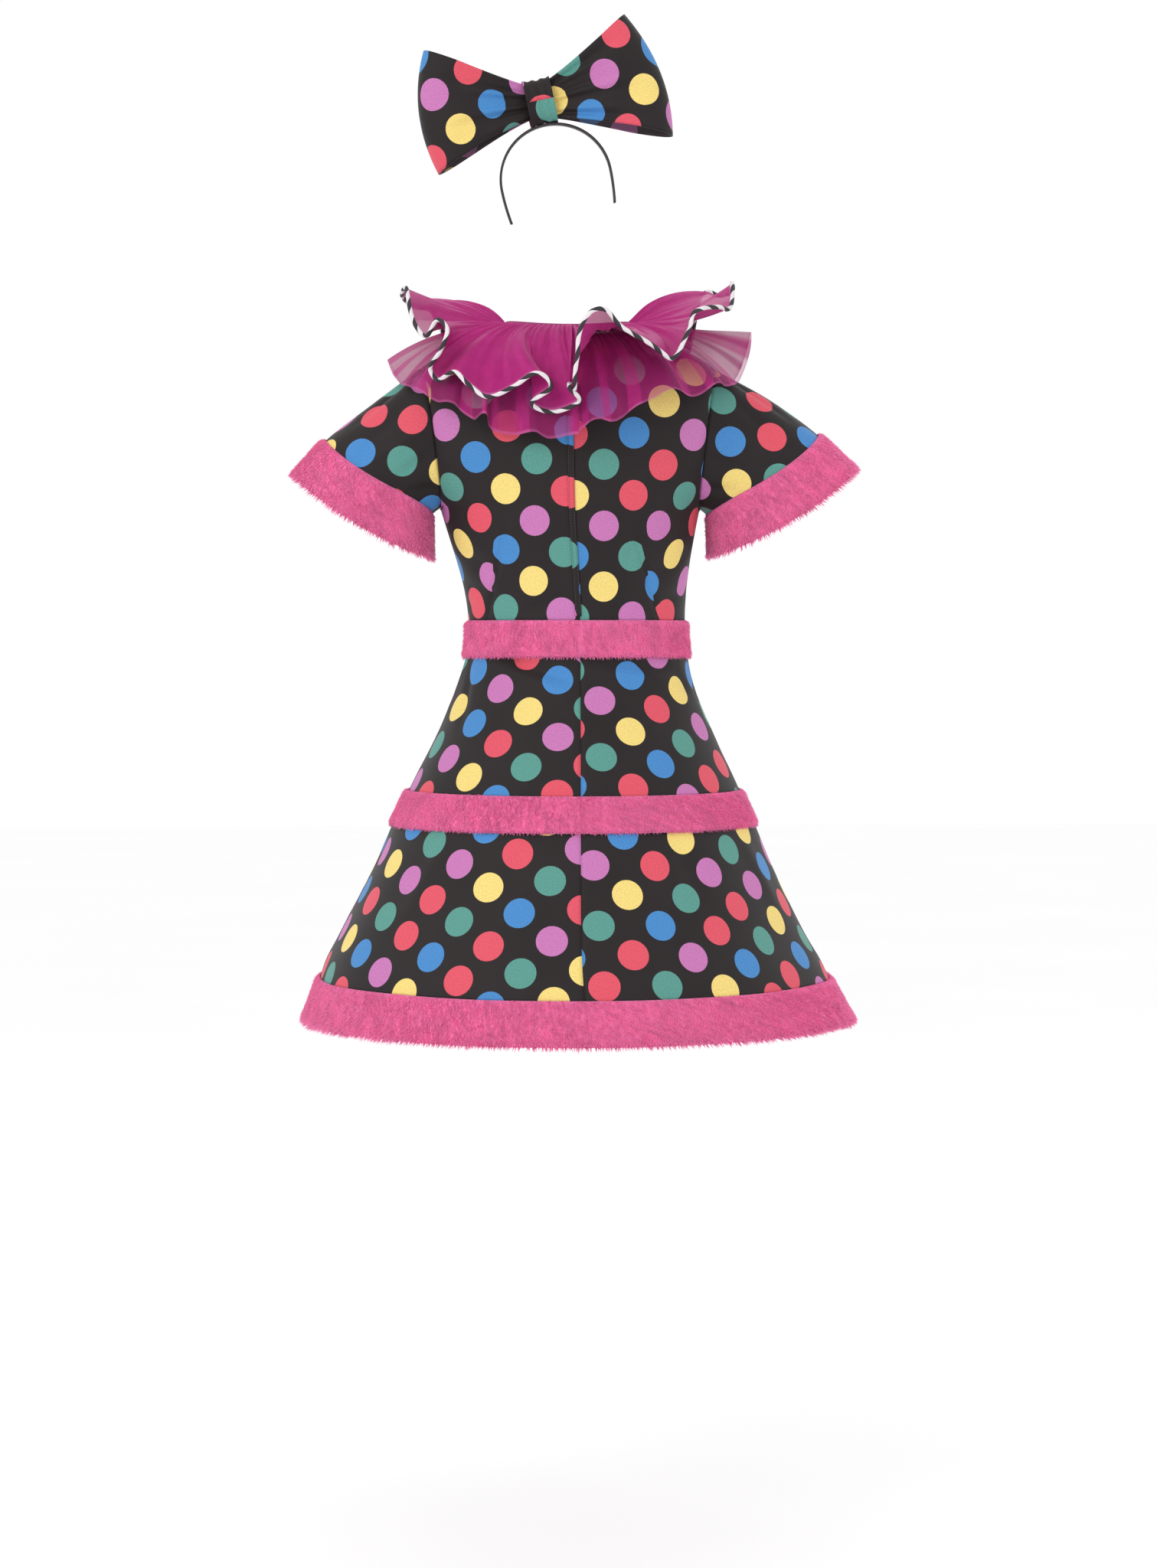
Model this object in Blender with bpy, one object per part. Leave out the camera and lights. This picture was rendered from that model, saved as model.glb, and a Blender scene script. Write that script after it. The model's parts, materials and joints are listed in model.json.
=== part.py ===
"""A worn clown dress with a ruffle collar, and its matching hair bow, as hollow cloth pieces.

Tables and sizes are in millimetres and degrees. +X is the wearer's left, -Y the front, +Z up, and the
origin is at the nape, where the dress hangs from the wearer's neck and shoulders.
"""
import math

import bpy
import numpy as np

MM = 0.001
CLOTH = 1.6            # wall of the printed cloth
ORGANZA = 1.0          # wall of the ruffles
SEAM = 0.34            # gap left between two pieces that are sewn together
PILE = 7.5             # how far the fur stands up from the cloth
PILE_ABOVE = 2.0       # how far the pile reaches over the piece above a band
PILE_BELOW = 4.5       # and over the piece below it
FRINGE = 6.5           # how far loose fur hangs below a free edge
QUARTER = 12           # columns in each quarter of the body

# The body of the dress, from the hem up to the underarm.
BODY = np.array([
    # height, half width, depth of the back, depth of the front
    (-829, 332, 314, 306),
    (-782, 311, 292, 284),
    (-764, 304, 284, 276),
    (-731, 286, 268, 259),
    (-687, 264, 247, 237),
    (-639, 241, 225, 213),
    (-592, 221, 206, 191),
    (-553, 203, 187, 171),
    (-540, 197, 181, 164),
    (-497, 176, 158, 141),
    (-452, 156, 134, 119),
    (-420, 144, 119, 107),
    (-387, 136, 108, 100),
    (-346, 133, 104, 98),
    (-310, 136, 103, 105),
    (-277, 142, 104, 114),
    (-240, 151, 108, 121),
    (-208, 159, 110, 118),
], float)
HEM, HEM_BAND_TOP = -829, -782
MIDDLE_BAND_BOTTOM, MIDDLE_BAND_TOP = -592, -553
WAIST_BOTTOM, WAIST_TOP = -387, -346
UNDERARM = -208

# The skirt swings and the wearer leans a little to the left.
LEAN = np.array([
    # height, centre across
    (-829, -2),
    (-770, 3),
    (-600, 3),
    (-450, 0),
    (-346, -1),
    (-208, 7),
    (0, 10),
], float)

# Soft flutes of the skirt. They fade out towards the waist.
FLUTES = np.array([
    # angle from the centre back, width, depth at the hem
    (24, 13, 5.0),
    (-11, 11, 3.5),
    (-42, 13, 4.5),
    (66, 14, 5.0),
    (-74, 12, 5.0),
    (104, 13, 4.0),
    (-110, 14, 5.0),
    (142, 13, 5.0),
    (-150, 12, 4.0),
    (178, 11, 5.0),
], float)
FLUTES_START = -400

# Neckline and shoulders.
NECK_HALF_WIDTH, NECK_BACK, NECK_FRONT = 76, 66, 72
NECK_RISE = 8          # the neckline's sides stand above the nape
NECK_DROP = 48         # and its front lies below the nape
NECK_SHARE = 5 / 12    # share of a quarter's columns that run around the neck
SHOULDER_TIP = (183, -40)
ARMHOLE_MIDDLE, ARMHOLE_HALF_HEIGHT = -124, 84
ARMHOLE_SCOOP = 6      # how far the armhole is cut in from a straight side
ARMHOLE_BACK, ARMHOLE_FRONT = 66, 60
CENTRE_BACK = np.array([
    # share of the way from the underarm's level up to the nape, depth
    (0, 110),
    (0.3, 109),
    (0.6, 98),
    (0.85, 79),
    (1, 66),
], float)
CENTRE_FRONT = np.array([
    (0, 118),
    (0.3, 113),
    (0.6, 102),
    (0.85, 84),
    (1, 72),
], float)

# One dart in each back, from the waist up to the middle of the back.
DART_AT = 13 / 24      # share of a back quarter, from the centre back
DART_HALF_WIDTH = 0.03
DART_DEPTH = 1.5
DART_TOP = -236

ZIP_LAP_HALF_WIDTH = 3.8
ZIP_LAP_THICKNESS = 1.0

# Sleeves: each ring lies between its top point and its underarm point.
SLEEVE_LEFT = np.array([
    # share of the length, top across, top height, underarm across, underarm height, half depth
    (0, 190, -40, 166, -208, 63),
    (0.36, 248, -82, 173, -213, 64),
    (0.72, 305, -126, 178, -220, 66),
    (1, 341, -165, 178, -265, 71),
], float)
SLEEVE_RIGHT = np.array([
    (0, -176, -40, -152, -208, 63),
    (0.36, -238, -75, -159, -214, 64),
    (0.72, -297, -118, -164, -222, 66),
    (1, -339, -157, -166, -262, 71),
], float)
CUFF_START = 0.72
ARMHOLE_GAP = 0.8
SLEEVE_SAG = 13                # the back of a sleeve hangs this much further out along its own direction
SLEEVE_DIRECTION = (0.58, -0.81)
SLEEVE_WAVES = np.array([
    # angle from the top of the sleeve, width, depth at the cuff
    (38, 22, 4.0),
    (92, 20, 3.0),
    (140, 20, 3.5),
    (222, 22, 3.5),
    (300, 24, 4.0),
], float)

# Ruffle collar. Each row is one fold line, from the centre back around the wearer's left side.
COLLAR_FOLDS_UPPER = np.array([
    # angle of the fold's root, angle that it faces, lift above the horizontal
    (1.2, 0, -38),
    (8, -11, -47),
    (16, 2, -54),
    (23, 12, -48),
    (29, -6, -38),
    (34, 0, -30),
    (39, 12, -38),
    (45, 28, -44),
    (51, 36, -36),
    (56, 40, -29),
    (61, 54, -33),
    (66, 54, -26),
    (72, 41, -19),
    (77, 33, -9),
    (82, 38, -3),
    (87, 46, -10),
    (92, 54, -3),
    (97, 64, 12),
    (102, 74, 19),
    (109, 94, 18),
    (117, 112, 18),
    (126, 128, 19),
    (135, 142, 0),
    (146, 150, -24),
    (157, 156, -14),
    (168, 170, -38),
    (179, 181, -26),
    (189, 190, -40),
    (200, 200, -20),
    (211, 212, -36),
    (221, 222, -26),
    (229, 229, 4),
    (236, 237, 24),
    (243, 244, 27),
    (250, 252, 22),
    (258, 268, 19),
    (265, 284, 21),
    (272, 300, 6),
    (279, 312, 5),
    (286, 328, 1),
    (293, 330, -9),
    (303, 335, -22),
    (313, 346, -14),
    (321, 355, -8),
    (330, 360, 1),
    (338, 364, 1),
    (345, 366, -10),
    (351, 364, -22),
    (358.8, 360.2, -35),
], float)
COLLAR_FOLDS_LOWER = np.array([
    (1.2, -1, -62),
    (12, 10, -66),
    (20, 14, -60),
    (28, 26, -63),
    (36, 38, -60),
    (43, 30, -48),
    (50, 38, -52),
    (58, 42, -42),
    (65, 52, -41),
    (72, 58, -35),
    (79, 66, -32),
    (86, 80, -27),
    (93, 88, -18),
    (100, 94, -15),
    (109, 106, -26),
    (119, 126, -36),
    (129, 130, -30),
    (140, 148, -46),
    (151, 152, -38),
    (162, 170, -52),
    (174, 173, -44),
    (186, 190, -55),
    (197, 197, -42),
    (208, 212, -54),
    (220, 220, -48),
    (231, 236, -44),
    (242, 242, -30),
    (253, 258, -22),
    (263, 270, -2),
    (272, 272, -12),
    (281, 279, -27),
    (289, 292, -30),
    (297, 304, -30),
    (305, 312, -36),
    (313, 320, -36),
    (321, 330, -34),
    (330, 338, -42),
    (338, 344, -50),
    (345, 344, -52),
    (351, 352, -51),
    (358.8, 359, -61),
], float)
WIDTH_UPPER, WIDTH_LOWER = 132, 148
ROOT_UPPER, ROOT_LOWER = 8.6, 4.6      # heights of the roots above the neckline
ROOT_OUT = 1.7                         # and how far they stand out from the binding
ROOT_LIFTS = np.array([
    # angle from the centre back, lift of the upper ruffle at its root
    (0, -24),
    (45, -13),
    (75, -4),
    (90, 2),
    (105, 30),
    (120, 64),
    (135, 58),
    (150, 22),
    (165, -10),
    (180, -24),
], float)
RISE_LOWER = 0.35                      # share of an upward lift that the lower ruffle takes
COLUMNS_PER_FOLD_UPPER, COLUMNS_PER_FOLD_LOWER = 3, 2
GATHER_DEPTH = 1.2                     # fine gathers at the root, from column to column
GATHER_REACH = 0.55                    # share of the width where the gathers have opened out
BINDING_HEIGHT, BINDING_COLUMNS = 11, 21
PIPING_RADIUS = 2.7

# Hair bow. Both loops meet in the knot, on top of a headband.
KNOT_CENTRE = (42, -60, 295)
KNOT_HALF_WIDTH, KNOT_HALF_DEPTH, KNOT_HALF_HEIGHT = 17, 16, 27
KNOT_FLARE = 0.07      # the knot widens towards both of its edges
LOOPS = (
    # name, side, tilt of its axis and of its outer edge, length, half heights of its root and outer edge
    ("bow_loop_left", 1, -6, -7, 131, 18.4, 76),
    ("bow_loop_right", -1, 14, 22, 135, 20.1, 80),
)
LOOP_HALF_DEPTH = 26
LOOP_BULGE = 15        # the outer edge is rounded out by this much
HEADBAND_RADIUS, HEADBAND_LEG = 70, 42
HEADBAND_WIDTH, HEADBAND_THICKNESS = 11, 3
HEADBAND_TILT = 12
HEADBAND_LEG_TURN = 9


def colour(code):
    """Linear colour from a hex code."""
    channels = [int(code[i:i + 2], 16) / 255 for i in (0, 2, 4)]
    linear = [c / 12.92 if c <= 0.04045 else ((c + 0.055) / 1.055) ** 2.4 for c in channels]
    return (*linear, 1)


def material(name, code, roughness):
    """A plain material in one colour."""
    made = bpy.data.materials.new(name)
    made.use_nodes = True
    shader = made.node_tree.nodes["Principled BSDF"]
    shader.inputs["Base Color"].default_value = colour(code)
    shader.inputs["Roughness"].default_value = roughness
    shader.inputs["Metallic"].default_value = 0
    made.diffuse_color = colour(code)
    return made


def smooth(table, column, at):
    """Reads one column of a table along a smooth curve through its rows."""
    knots, values = table[:, 0], table[:, column]
    slopes = np.gradient(values, knots)
    row = np.clip(np.searchsorted(knots, at) - 1, 0, len(knots) - 2)
    step = knots[row + 1] - knots[row]
    t = (at - knots[row]) / step
    start = (2 * t ** 3 - 3 * t ** 2 + 1) * values[row] + (t ** 3 - 2 * t ** 2 + t) * step * slopes[row]
    end = (3 * t ** 2 - 2 * t ** 3) * values[row + 1] + (t ** 3 - t ** 2) * step * slopes[row + 1]
    return start + end


def bumps(table, angle):
    """Sum of the soft bumps of a table (angle, width, depth) at an angle in radians."""
    total = np.zeros_like(angle)
    for centre, width, depth in table:
        away = (np.degrees(angle) - centre + 180) % 360 - 180
        total = total + depth * np.exp(-(away / width) ** 2)
    return total


def body(angle, height):
    """Outer face of the skirt and the lower bodice, at an angle from the centre back."""
    reach = np.clip((FLUTES_START - height) / (FLUTES_START - HEM), 0, None) ** 1.5
    flute = bumps(FLUTES, angle) * reach
    depth = np.where(np.cos(angle) > 0, smooth(BODY, 2, height), smooth(BODY, 3, height))
    x = smooth(LEAN, 1, height) + (smooth(BODY, 1, height) + flute) * np.sin(angle)
    y = (depth + flute) * np.cos(angle)
    return np.stack([x, y, height + 0 * angle], -1)


def neckline(angle):
    """The cut edge around the neck, at an angle from the centre back."""
    across, along = np.sin(angle), np.cos(angle)
    back = along > 0
    x = smooth(LEAN, 1, 0.0) + NECK_HALF_WIDTH * across
    y = along * np.where(back, NECK_BACK, NECK_FRONT)
    z = NECK_RISE - along ** 2 * np.where(back, NECK_RISE, NECK_RISE + NECK_DROP)
    return np.stack([x, y, z], -1)


def shoulder_line(share, back):
    """Top edge of one bodice quarter: the neckline, then the shoulder seam out to its tip."""
    around = np.radians(90) * np.clip(share / NECK_SHARE, None, 1)
    neck = neckline(np.where(back, around, np.pi - around))
    along = np.clip((share - NECK_SHARE) / (1 - NECK_SHARE), 0, None)[..., None]
    tip = np.array([SHOULDER_TIP[0] + smooth(LEAN, 1, -40.0), 0, SHOULDER_TIP[1]])
    return neck + (tip - neck) * along


def upper_bodice(share, rise, back):
    """One bodice quarter above the underarm. rise is 0 at the underarm and 1 at the shoulder."""
    table = CENTRE_BACK if back else CENTRE_FRONT
    side = 1 if back else -1
    lean = smooth(LEAN, 1, UNDERARM * (1 - rise))
    top_centre = 0 if back else -NECK_DROP
    turn = np.pi * rise
    centre_depth = smooth(table, 1, rise)
    centre_height = UNDERARM + (top_centre - UNDERARM) * rise
    widening = rise ** 2 * (3 - 2 * rise)
    edge_x = BODY[-1, 1] + (SHOULDER_TIP[0] - BODY[-1, 1]) * widening - ARMHOLE_SCOOP * np.sin(turn)
    edge_depth = np.abs(np.sin(turn)) ** 0.9 * (ARMHOLE_BACK if back else ARMHOLE_FRONT)
    edge_height = ARMHOLE_MIDDLE - ARMHOLE_HALF_HEIGHT * np.cos(turn)
    across = share * np.pi / 2
    x = edge_x * np.sin(across)
    y = edge_depth + (centre_depth - edge_depth) * np.cos(across)
    z = centre_height + (edge_height - centre_height) * share ** 2
    top = shoulder_line(share, back)
    blend = rise ** (1.6 + 3 * share ** 3) * np.pi / 2
    drop, lift = np.cos(blend), np.sin(blend)
    x = x + (top[..., 0] - smooth(LEAN, 1, 0.0) - x) * (1 - drop)
    y = side * (side * top[..., 1] + (y - side * top[..., 1]) * drop)
    z = z + (top[..., 2] - z) * lift
    return np.stack([x, y, z], -1), lean


def bodice(back):
    """Surface of the bodice's back or front.

    u runs around the body from -90 to 90 degrees of its half, v down from the shoulder (0) through the
    underarm (1) to the waist (2).
    """
    def surface(u, v):
        share = u / (np.pi / 2) * (1 if back else -1)
        sign = np.where(share < 0, -1.0, 1.0)
        share = np.abs(share)
        upper, lean = upper_bodice(share, np.clip(1 - v, 0, 1), back)
        upper[..., 0] = upper[..., 0] * sign + lean
        angle = share * np.pi / 2
        angle = sign * np.where(back, angle, np.pi - angle)
        height = UNDERARM + (WAIST_TOP - UNDERARM) * np.clip(v - 1, 0, None)
        lower = body(angle, height)
        points = np.where((v < 1)[..., None], upper, lower)
        if back:
            ramp = np.clip((DART_TOP - points[..., 2]) / (DART_TOP - WAIST_TOP), 0, 1) ** 0.5
            groove = DART_DEPTH * ramp * np.clip(1 - np.abs(share - DART_AT) / DART_HALF_WIDTH, 0, 1)
            points = points - groove[..., None] * np.stack([np.sin(angle), np.cos(angle), 0 * angle], -1)
        return points
    return surface


def sleeve(side):
    """Surface of a sleeve: u around it from its top, v from the armhole (0) to its edge (1)."""
    table = SLEEVE_LEFT if side > 0 else SLEEVE_RIGHT
    back, front = bodice(True), bodice(False)

    def ring(angle, v):
        top_x, top_z, low_x, low_z, depth = (smooth(table, column, v) for column in range(1, 6))
        wave = bumps(SLEEVE_WAVES, angle % (2 * np.pi)) * np.clip(v, 0, None) ** 1.5
        upright, outward = np.cos(angle), np.sin(angle)
        half_x, half_z = (top_x - low_x) / 2, (top_z - low_z) / 2
        half = np.hypot(half_x, half_z)
        sag = SLEEVE_SAG * np.clip(outward, 0, 1) ** 1.5 * np.clip(v / CUFF_START, 0, 1) ** 2
        x = (top_x + low_x) / 2 + half_x * upright * (1 + wave / half) + side * SLEEVE_DIRECTION[0] * sag
        z = (top_z + low_z) / 2 + half_z * upright * (1 + wave / half) + SLEEVE_DIRECTION[1] * sag
        return np.stack([x, (depth + wave) * outward, z], -1)

    def armhole(angle):
        angle = angle % (2 * np.pi)
        behind = angle <= np.pi
        down = np.where(behind, angle, 2 * np.pi - angle) / np.pi
        edge = np.full_like(down, side * np.pi / 2)
        return np.where(behind[..., None], back(edge, down), front(-edge, down))

    def surface(u, v):
        angle = -side * u
        fade = np.clip(1 - v / CUFF_START, 0, 1)[..., None] ** 2
        start = armhole(angle) + np.array([side * ARMHOLE_GAP, 0, 0])
        return ring(angle, v) + (start - ring(angle, 0 * v)) * fade
    return surface


def collar(folds, width, root_height, rise, columns_per_fold):
    """Surface of a ruffle: u counts its fold lines, v runs from the root (0) to the edge (1).

    rise is the share of the root's upward lift that this ruffle takes.
    """
    rows = np.column_stack([np.arange(len(folds)), folds])

    def surface(u, v):
        angle = smooth(rows, 1, u)
        root_angle = np.radians(angle)
        facing = np.radians(angle + (smooth(rows, 2, u) - angle) * v)
        root_lift = smooth(ROOT_LIFTS, 1, 180 - np.abs(180 - angle))
        root_lift = np.where(root_lift > 0, root_lift * rise, root_lift)
        lift = np.radians(root_lift + (smooth(rows, 3, u) - root_lift) * v)
        outward = np.stack([np.sin(root_angle), np.cos(root_angle), 0 * root_angle], -1)
        root = neckline(root_angle) + outward * ROOT_OUT + np.array([0, 0, root_height])
        away = np.stack([np.sin(facing) * np.cos(lift), np.cos(facing) * np.cos(lift), np.sin(lift)], -1)
        gather = GATHER_DEPTH * np.cos(np.pi * columns_per_fold * u)
        gather = gather * np.clip(1 - v / GATHER_REACH, 0, 1) ** 2
        across = np.stack([-np.sin(facing) * np.sin(lift), -np.cos(facing) * np.sin(lift), np.cos(lift)], -1)
        return root + away * (width * v)[..., None] + across * gather[..., None]
    return surface


def binding(u, v):
    """Outer face of the upright neck binding: v runs down from its top (0) to the neckline (1)."""
    return neckline(u) + np.stack([0 * u, 0 * u, BINDING_HEIGHT * (1 - v)], -1)


def loop_surface(side, axis_tilt, edge_tilt, length, root_half, edge_half):
    """Surface of one bow loop: u around it, from the knot's back over the outer edge to its front."""
    def surface(u, v):
        u = u if side > 0 else 1 - u
        out = np.abs(np.sin(np.pi * u)) ** 0.8
        rise = 1 - 2 * v
        half_height = root_half + (edge_half - root_half) * out ** 1.2
        tilt = np.radians(axis_tilt + (edge_tilt - axis_tilt) * out)
        along = 4 + length * out + LOOP_BULGE * out ** 3 * (1 - rise ** 2)
        depth = 3.5 * np.cos(np.pi * u) + LOOP_HALF_DEPTH * np.sin(2 * np.pi * u)
        axis = np.radians(axis_tilt)
        x = along * np.cos(axis) - half_height * rise * np.sin(tilt)
        z = along * np.sin(axis) + half_height * rise * np.cos(tilt)
        return np.stack([KNOT_CENTRE[0] + side * x, KNOT_CENTRE[1] + depth, KNOT_CENTRE[2] + z], -1)
    return surface


def knot_surface(u, v):
    """Outer face of the knot's wrap: u around it, v across it along the bow."""
    pinch = 1 + KNOT_FLARE * (2 * v - 1) ** 2
    y = KNOT_HALF_DEPTH * np.sign(np.cos(u)) * np.abs(np.cos(u)) ** 0.75 * pinch
    z = KNOT_HALF_HEIGHT * np.sign(np.sin(u)) * np.abs(np.sin(u)) ** 0.75 * pinch
    x = KNOT_HALF_WIDTH * (2 * v - 1)
    tilt = math.radians(HEADBAND_TILT)
    across, up = x * math.cos(tilt) + z * math.sin(tilt), z * math.cos(tilt) - x * math.sin(tilt)
    return np.stack([KNOT_CENTRE[0] + across, KNOT_CENTRE[1] + y, KNOT_CENTRE[2] + up], -1)


def unit(vectors):
    return vectors / np.maximum(np.linalg.norm(vectors, axis=-1, keepdims=True), 1e-9)


def lattice(surface, columns, rows):
    """Points, tangents and outward normals of a surface at every row and column."""
    u, v = np.meshgrid(columns, rows)
    small = 1e-4
    low, high = np.min(rows), np.max(rows)
    inner = np.clip(v, low + small, high - small)
    points = surface(u, v)
    along = unit(surface(u + small, inner) - surface(u - small, inner))
    down = unit(surface(u, inner + small) - surface(u, inner - small))
    return points, along, down, unit(np.cross(along, down))


def build(name, points, faces, look):
    """Makes one object from points in millimetres."""
    mesh = bpy.data.meshes.new(name)
    mesh.from_pydata([tuple(point) for point in points * MM], [], faces)
    mesh.validate()
    mesh.shade_smooth()
    mesh.materials.append(look)
    made = bpy.data.objects.new(name, mesh)
    bpy.context.scene.collection.objects.link(made)
    return made


def wall(name, surface, columns, rows, thickness, look, closed=False, trims=(1, 1, 1, 1)):
    """A cloth wall behind a surface. trims pull its first and last column and row in from the seams."""
    points, along, down, normal = lattice(surface, columns, rows)
    half = SEAM / 2
    if not closed:
        points[:, 0] += along[:, 0] * half * trims[0]
        points[:, -1] -= along[:, -1] * half * trims[1]
    points[0] += down[0] * half * trims[2]
    points[-1] -= down[-1] * half * trims[3]
    count_rows, count = points.shape[:2]
    outer = points.reshape(-1, 3)
    inner = (points - normal * thickness).reshape(-1, 3)
    back = len(outer)
    steps = count if closed else count - 1
    faces = []
    for row in range(count_rows - 1):
        for column in range(steps):
            after = (column + 1) % count
            a, b = row * count + column, row * count + after
            c, d = b + count, a + count
            # Both sides are split along the same diagonal, so a twisted wall keeps its thickness.
            if np.linalg.norm(outer[a] - outer[c]) < np.linalg.norm(outer[b] - outer[d]):
                halves = (a, b, c), (a, c, d)
            else:
                halves = (a, b, d), (b, c, d)
            for corners in halves:
                faces.append(corners)
                faces.append(tuple(back + corner for corner in reversed(corners)))
    for column in range(steps):
        after = (column + 1) % count
        last = (count_rows - 1) * count
        faces.append((after, column, back + column, back + after))
        faces.append((last + column, last + after, back + last + after, back + last + column))
    if not closed:
        for row in range(count_rows - 1):
            a, d = row * count, (row + 1) * count
            faces.append((a, d, back + d, back + a))
            b, c = a + count - 1, d + count - 1
            faces.append((c, b, back + b, back + c))
    return build(name, np.concatenate([outer, inner]), faces, look)


def sweep(name, sections, look, closed=False):
    """Joins a row of closed outlines, each with as many points, into one solid."""
    sections = np.asarray(sections)
    count, size = sections.shape[:2]
    faces = []
    for i in range(count if closed else count - 1):
        after = (i + 1) % count
        for j in range(size):
            k = (j + 1) % size
            faces.append((i * size + j, after * size + j, after * size + k, i * size + k))
    if not closed:
        faces.append(tuple(range(size)))
        faces.append(tuple((count - 1) * size + j for j in reversed(range(size))))
    return build(name, sections.reshape(-1, 3), faces, look)


def fur_profile(free_edge):
    """Outline of a fur band: share of its height, shift along the cloth, height over the cloth."""
    half = SEAM / 2
    outline = [
        (0, half, -CLOTH),
        (0, half, 0.6),
        (0, -PILE_ABOVE, 0.8),
        (0, 1.0, PILE * 0.75),
        (0.5, 0, PILE),
    ]
    if free_edge:
        outline += [(1, 0, PILE), (1, FRINGE, PILE * 0.4), (1, FRINGE * 0.4, -CLOTH)]
    else:
        outline += [(1, -0.5, PILE * 0.85), (1, PILE_BELOW, 0.8), (1, -half, 0.6), (1, -half, -CLOTH)]
    return outline


def fur_band(name, surface, columns, top, bottom, look, free_edge=False, closed=False):
    """A thick furry band that follows a surface between two rows."""
    outline = fur_profile(free_edge)
    rows = np.array([top + (bottom - top) * share for share, _, _ in outline])
    points, along, down, normal = lattice(surface, columns, rows)
    shift = np.array([shift for _, shift, _ in outline])[:, None, None]
    height = np.array([height for _, _, height in outline])[:, None, None]
    points = points + down * shift + normal * height
    if not closed:
        points[:, 0] += along[:, 0] * SEAM / 2
        points[:, -1] -= along[:, -1] * SEAM / 2
    return sweep(name, np.swapaxes(points, 0, 1), look, closed)


def body_columns(start, end, extra=()):
    """Angles of the body's columns between two angles in degrees."""
    step = 90 / QUARTER
    angles = list(np.arange(start, end + step / 2, step)) + list(extra)
    return np.radians(np.array(sorted(angles)))


def make_dress(print_cloth, fur):
    darts = [90 * (DART_AT + turn * DART_HALF_WIDTH) for turn in (-1, 0, 1)]
    back_rows = np.array([0, 0.1, 0.22, 0.36, 0.52, 0.68, 0.84, 1, 1.25, 1.5, 1.75, 2])
    around = body_columns(0, 90, darts)
    wall("bodice_back_left", bodice(True), around, back_rows, CLOTH, print_cloth)
    wall("bodice_back_right", bodice(True), -around[::-1], back_rows, CLOTH, print_cloth)
    wall("bodice_front", bodice(False), body_columns(-90, 90), back_rows, CLOTH, print_cloth)
    for name, side in (("left", 1), ("right", -1)):
        around = np.radians(np.arange(0, 360, 15))
        rows = np.array([0, 0.12, 0.26, 0.42, 0.58, CUFF_START])
        wall("sleeve_" + name, sleeve(side), around, rows, CLOTH, print_cloth, closed=True)
        fur_band("cuff_" + name, sleeve(side), around, CUFF_START, 1, fur, free_edge=True, closed=True)

    def skirt(u, v):
        return body(u, -v)

    open_ring = body_columns(0, 360)
    fur_band("waistband", skirt, open_ring, -WAIST_TOP, -WAIST_BOTTOM, fur)
    fur_band("middle_band", skirt, open_ring, -MIDDLE_BAND_TOP, -MIDDLE_BAND_BOTTOM, fur)
    fur_band("hem_band", skirt, open_ring, -HEM_BAND_TOP, -HEM, fur, free_edge=True)
    tiers = (("upper", WAIST_BOTTOM, MIDDLE_BAND_TOP), ("lower", MIDDLE_BAND_BOTTOM, HEM_BAND_TOP))
    for tier, top, bottom in tiers:
        rows = -np.linspace(top, bottom, 5)
        panels = (("back_left", 0, 90), ("front", 90, 270), ("back_right", 270, 360))
        for panel, start, end in panels:
            name = "skirt_" + tier + "_" + panel
            wall(name, skirt, body_columns(start, end), rows, CLOTH, print_cloth)


def make_zip_lap(look):
    """The strip over the zip, lying on both backs from under the collar to the waistband."""
    rows = np.array([0.02, 0.1, 0.22, 0.36, 0.52, 0.68, 0.84, 1, 1.25, 1.5, 1.75, 1.955])
    spine, along, down, normal = lattice(bodice(True), np.array([0.0]), rows)
    spine, along, normal = spine[:, 0], along[:, 0], normal[:, 0]
    low, high = SEAM, SEAM + ZIP_LAP_THICKNESS
    outline = ((-1, high), (1, high), (1, low), (-1, low))
    sections = [[p + a * side * ZIP_LAP_HALF_WIDTH + n * height for side, height in outline]
                for p, a, n in zip(spine, along, normal)]
    sweep("zip_lap", [section[::-1] for section in sections], look)


def make_collar(organza, cord, band):
    around = np.radians(np.linspace(0, 360, BINDING_COLUMNS))
    wall("neck_binding", binding, around, np.array([0.0, 1.0]), CLOTH, band, trims=(1, 1, 0, 1))
    layers = (
        ("ruffle_upper", COLLAR_FOLDS_UPPER, WIDTH_UPPER, ROOT_UPPER, 1, COLUMNS_PER_FOLD_UPPER),
        ("ruffle_lower", COLLAR_FOLDS_LOWER, WIDTH_LOWER, ROOT_LOWER, RISE_LOWER, COLUMNS_PER_FOLD_LOWER),
    )
    rows = np.array([0, 0.16, 0.36, 0.65, 1])
    for name, folds, width, root, rise, per_fold in layers:
        columns = np.linspace(0, len(folds) - 1, (len(folds) - 1) * per_fold + 1)
        surface = collar(folds, width, root, rise, per_fold)
        wall(name, surface, columns, rows, ORGANZA, organza, trims=(0, 0, 0, 0))
        if name == "ruffle_upper":
            make_piping(surface, columns, cord)


def make_piping(surface, columns, look):
    """A round cord along the edge of the upper ruffle."""
    edge, along, down, normal = lattice(surface, columns, np.array([0.9, 1.0]))
    edge, along, down, normal = edge[1], along[1], down[1], normal[1]
    beyond = unit(down - along * np.sum(down * along, axis=-1, keepdims=True))
    middle = edge + beyond * (PIPING_RADIUS + SEAM) - normal * ORGANZA / 2
    forward = unit(np.gradient(middle, axis=0))
    sideways = unit(np.cross(forward, beyond))
    outwards = unit(np.cross(sideways, forward))
    turns = np.radians(np.arange(5) * 72)
    sections = [[m + PIPING_RADIUS * (math.cos(t) * o - math.sin(t) * s) for t in turns]
                for m, o, s in zip(middle, outwards, sideways)]
    sweep("piping", sections, look)


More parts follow.
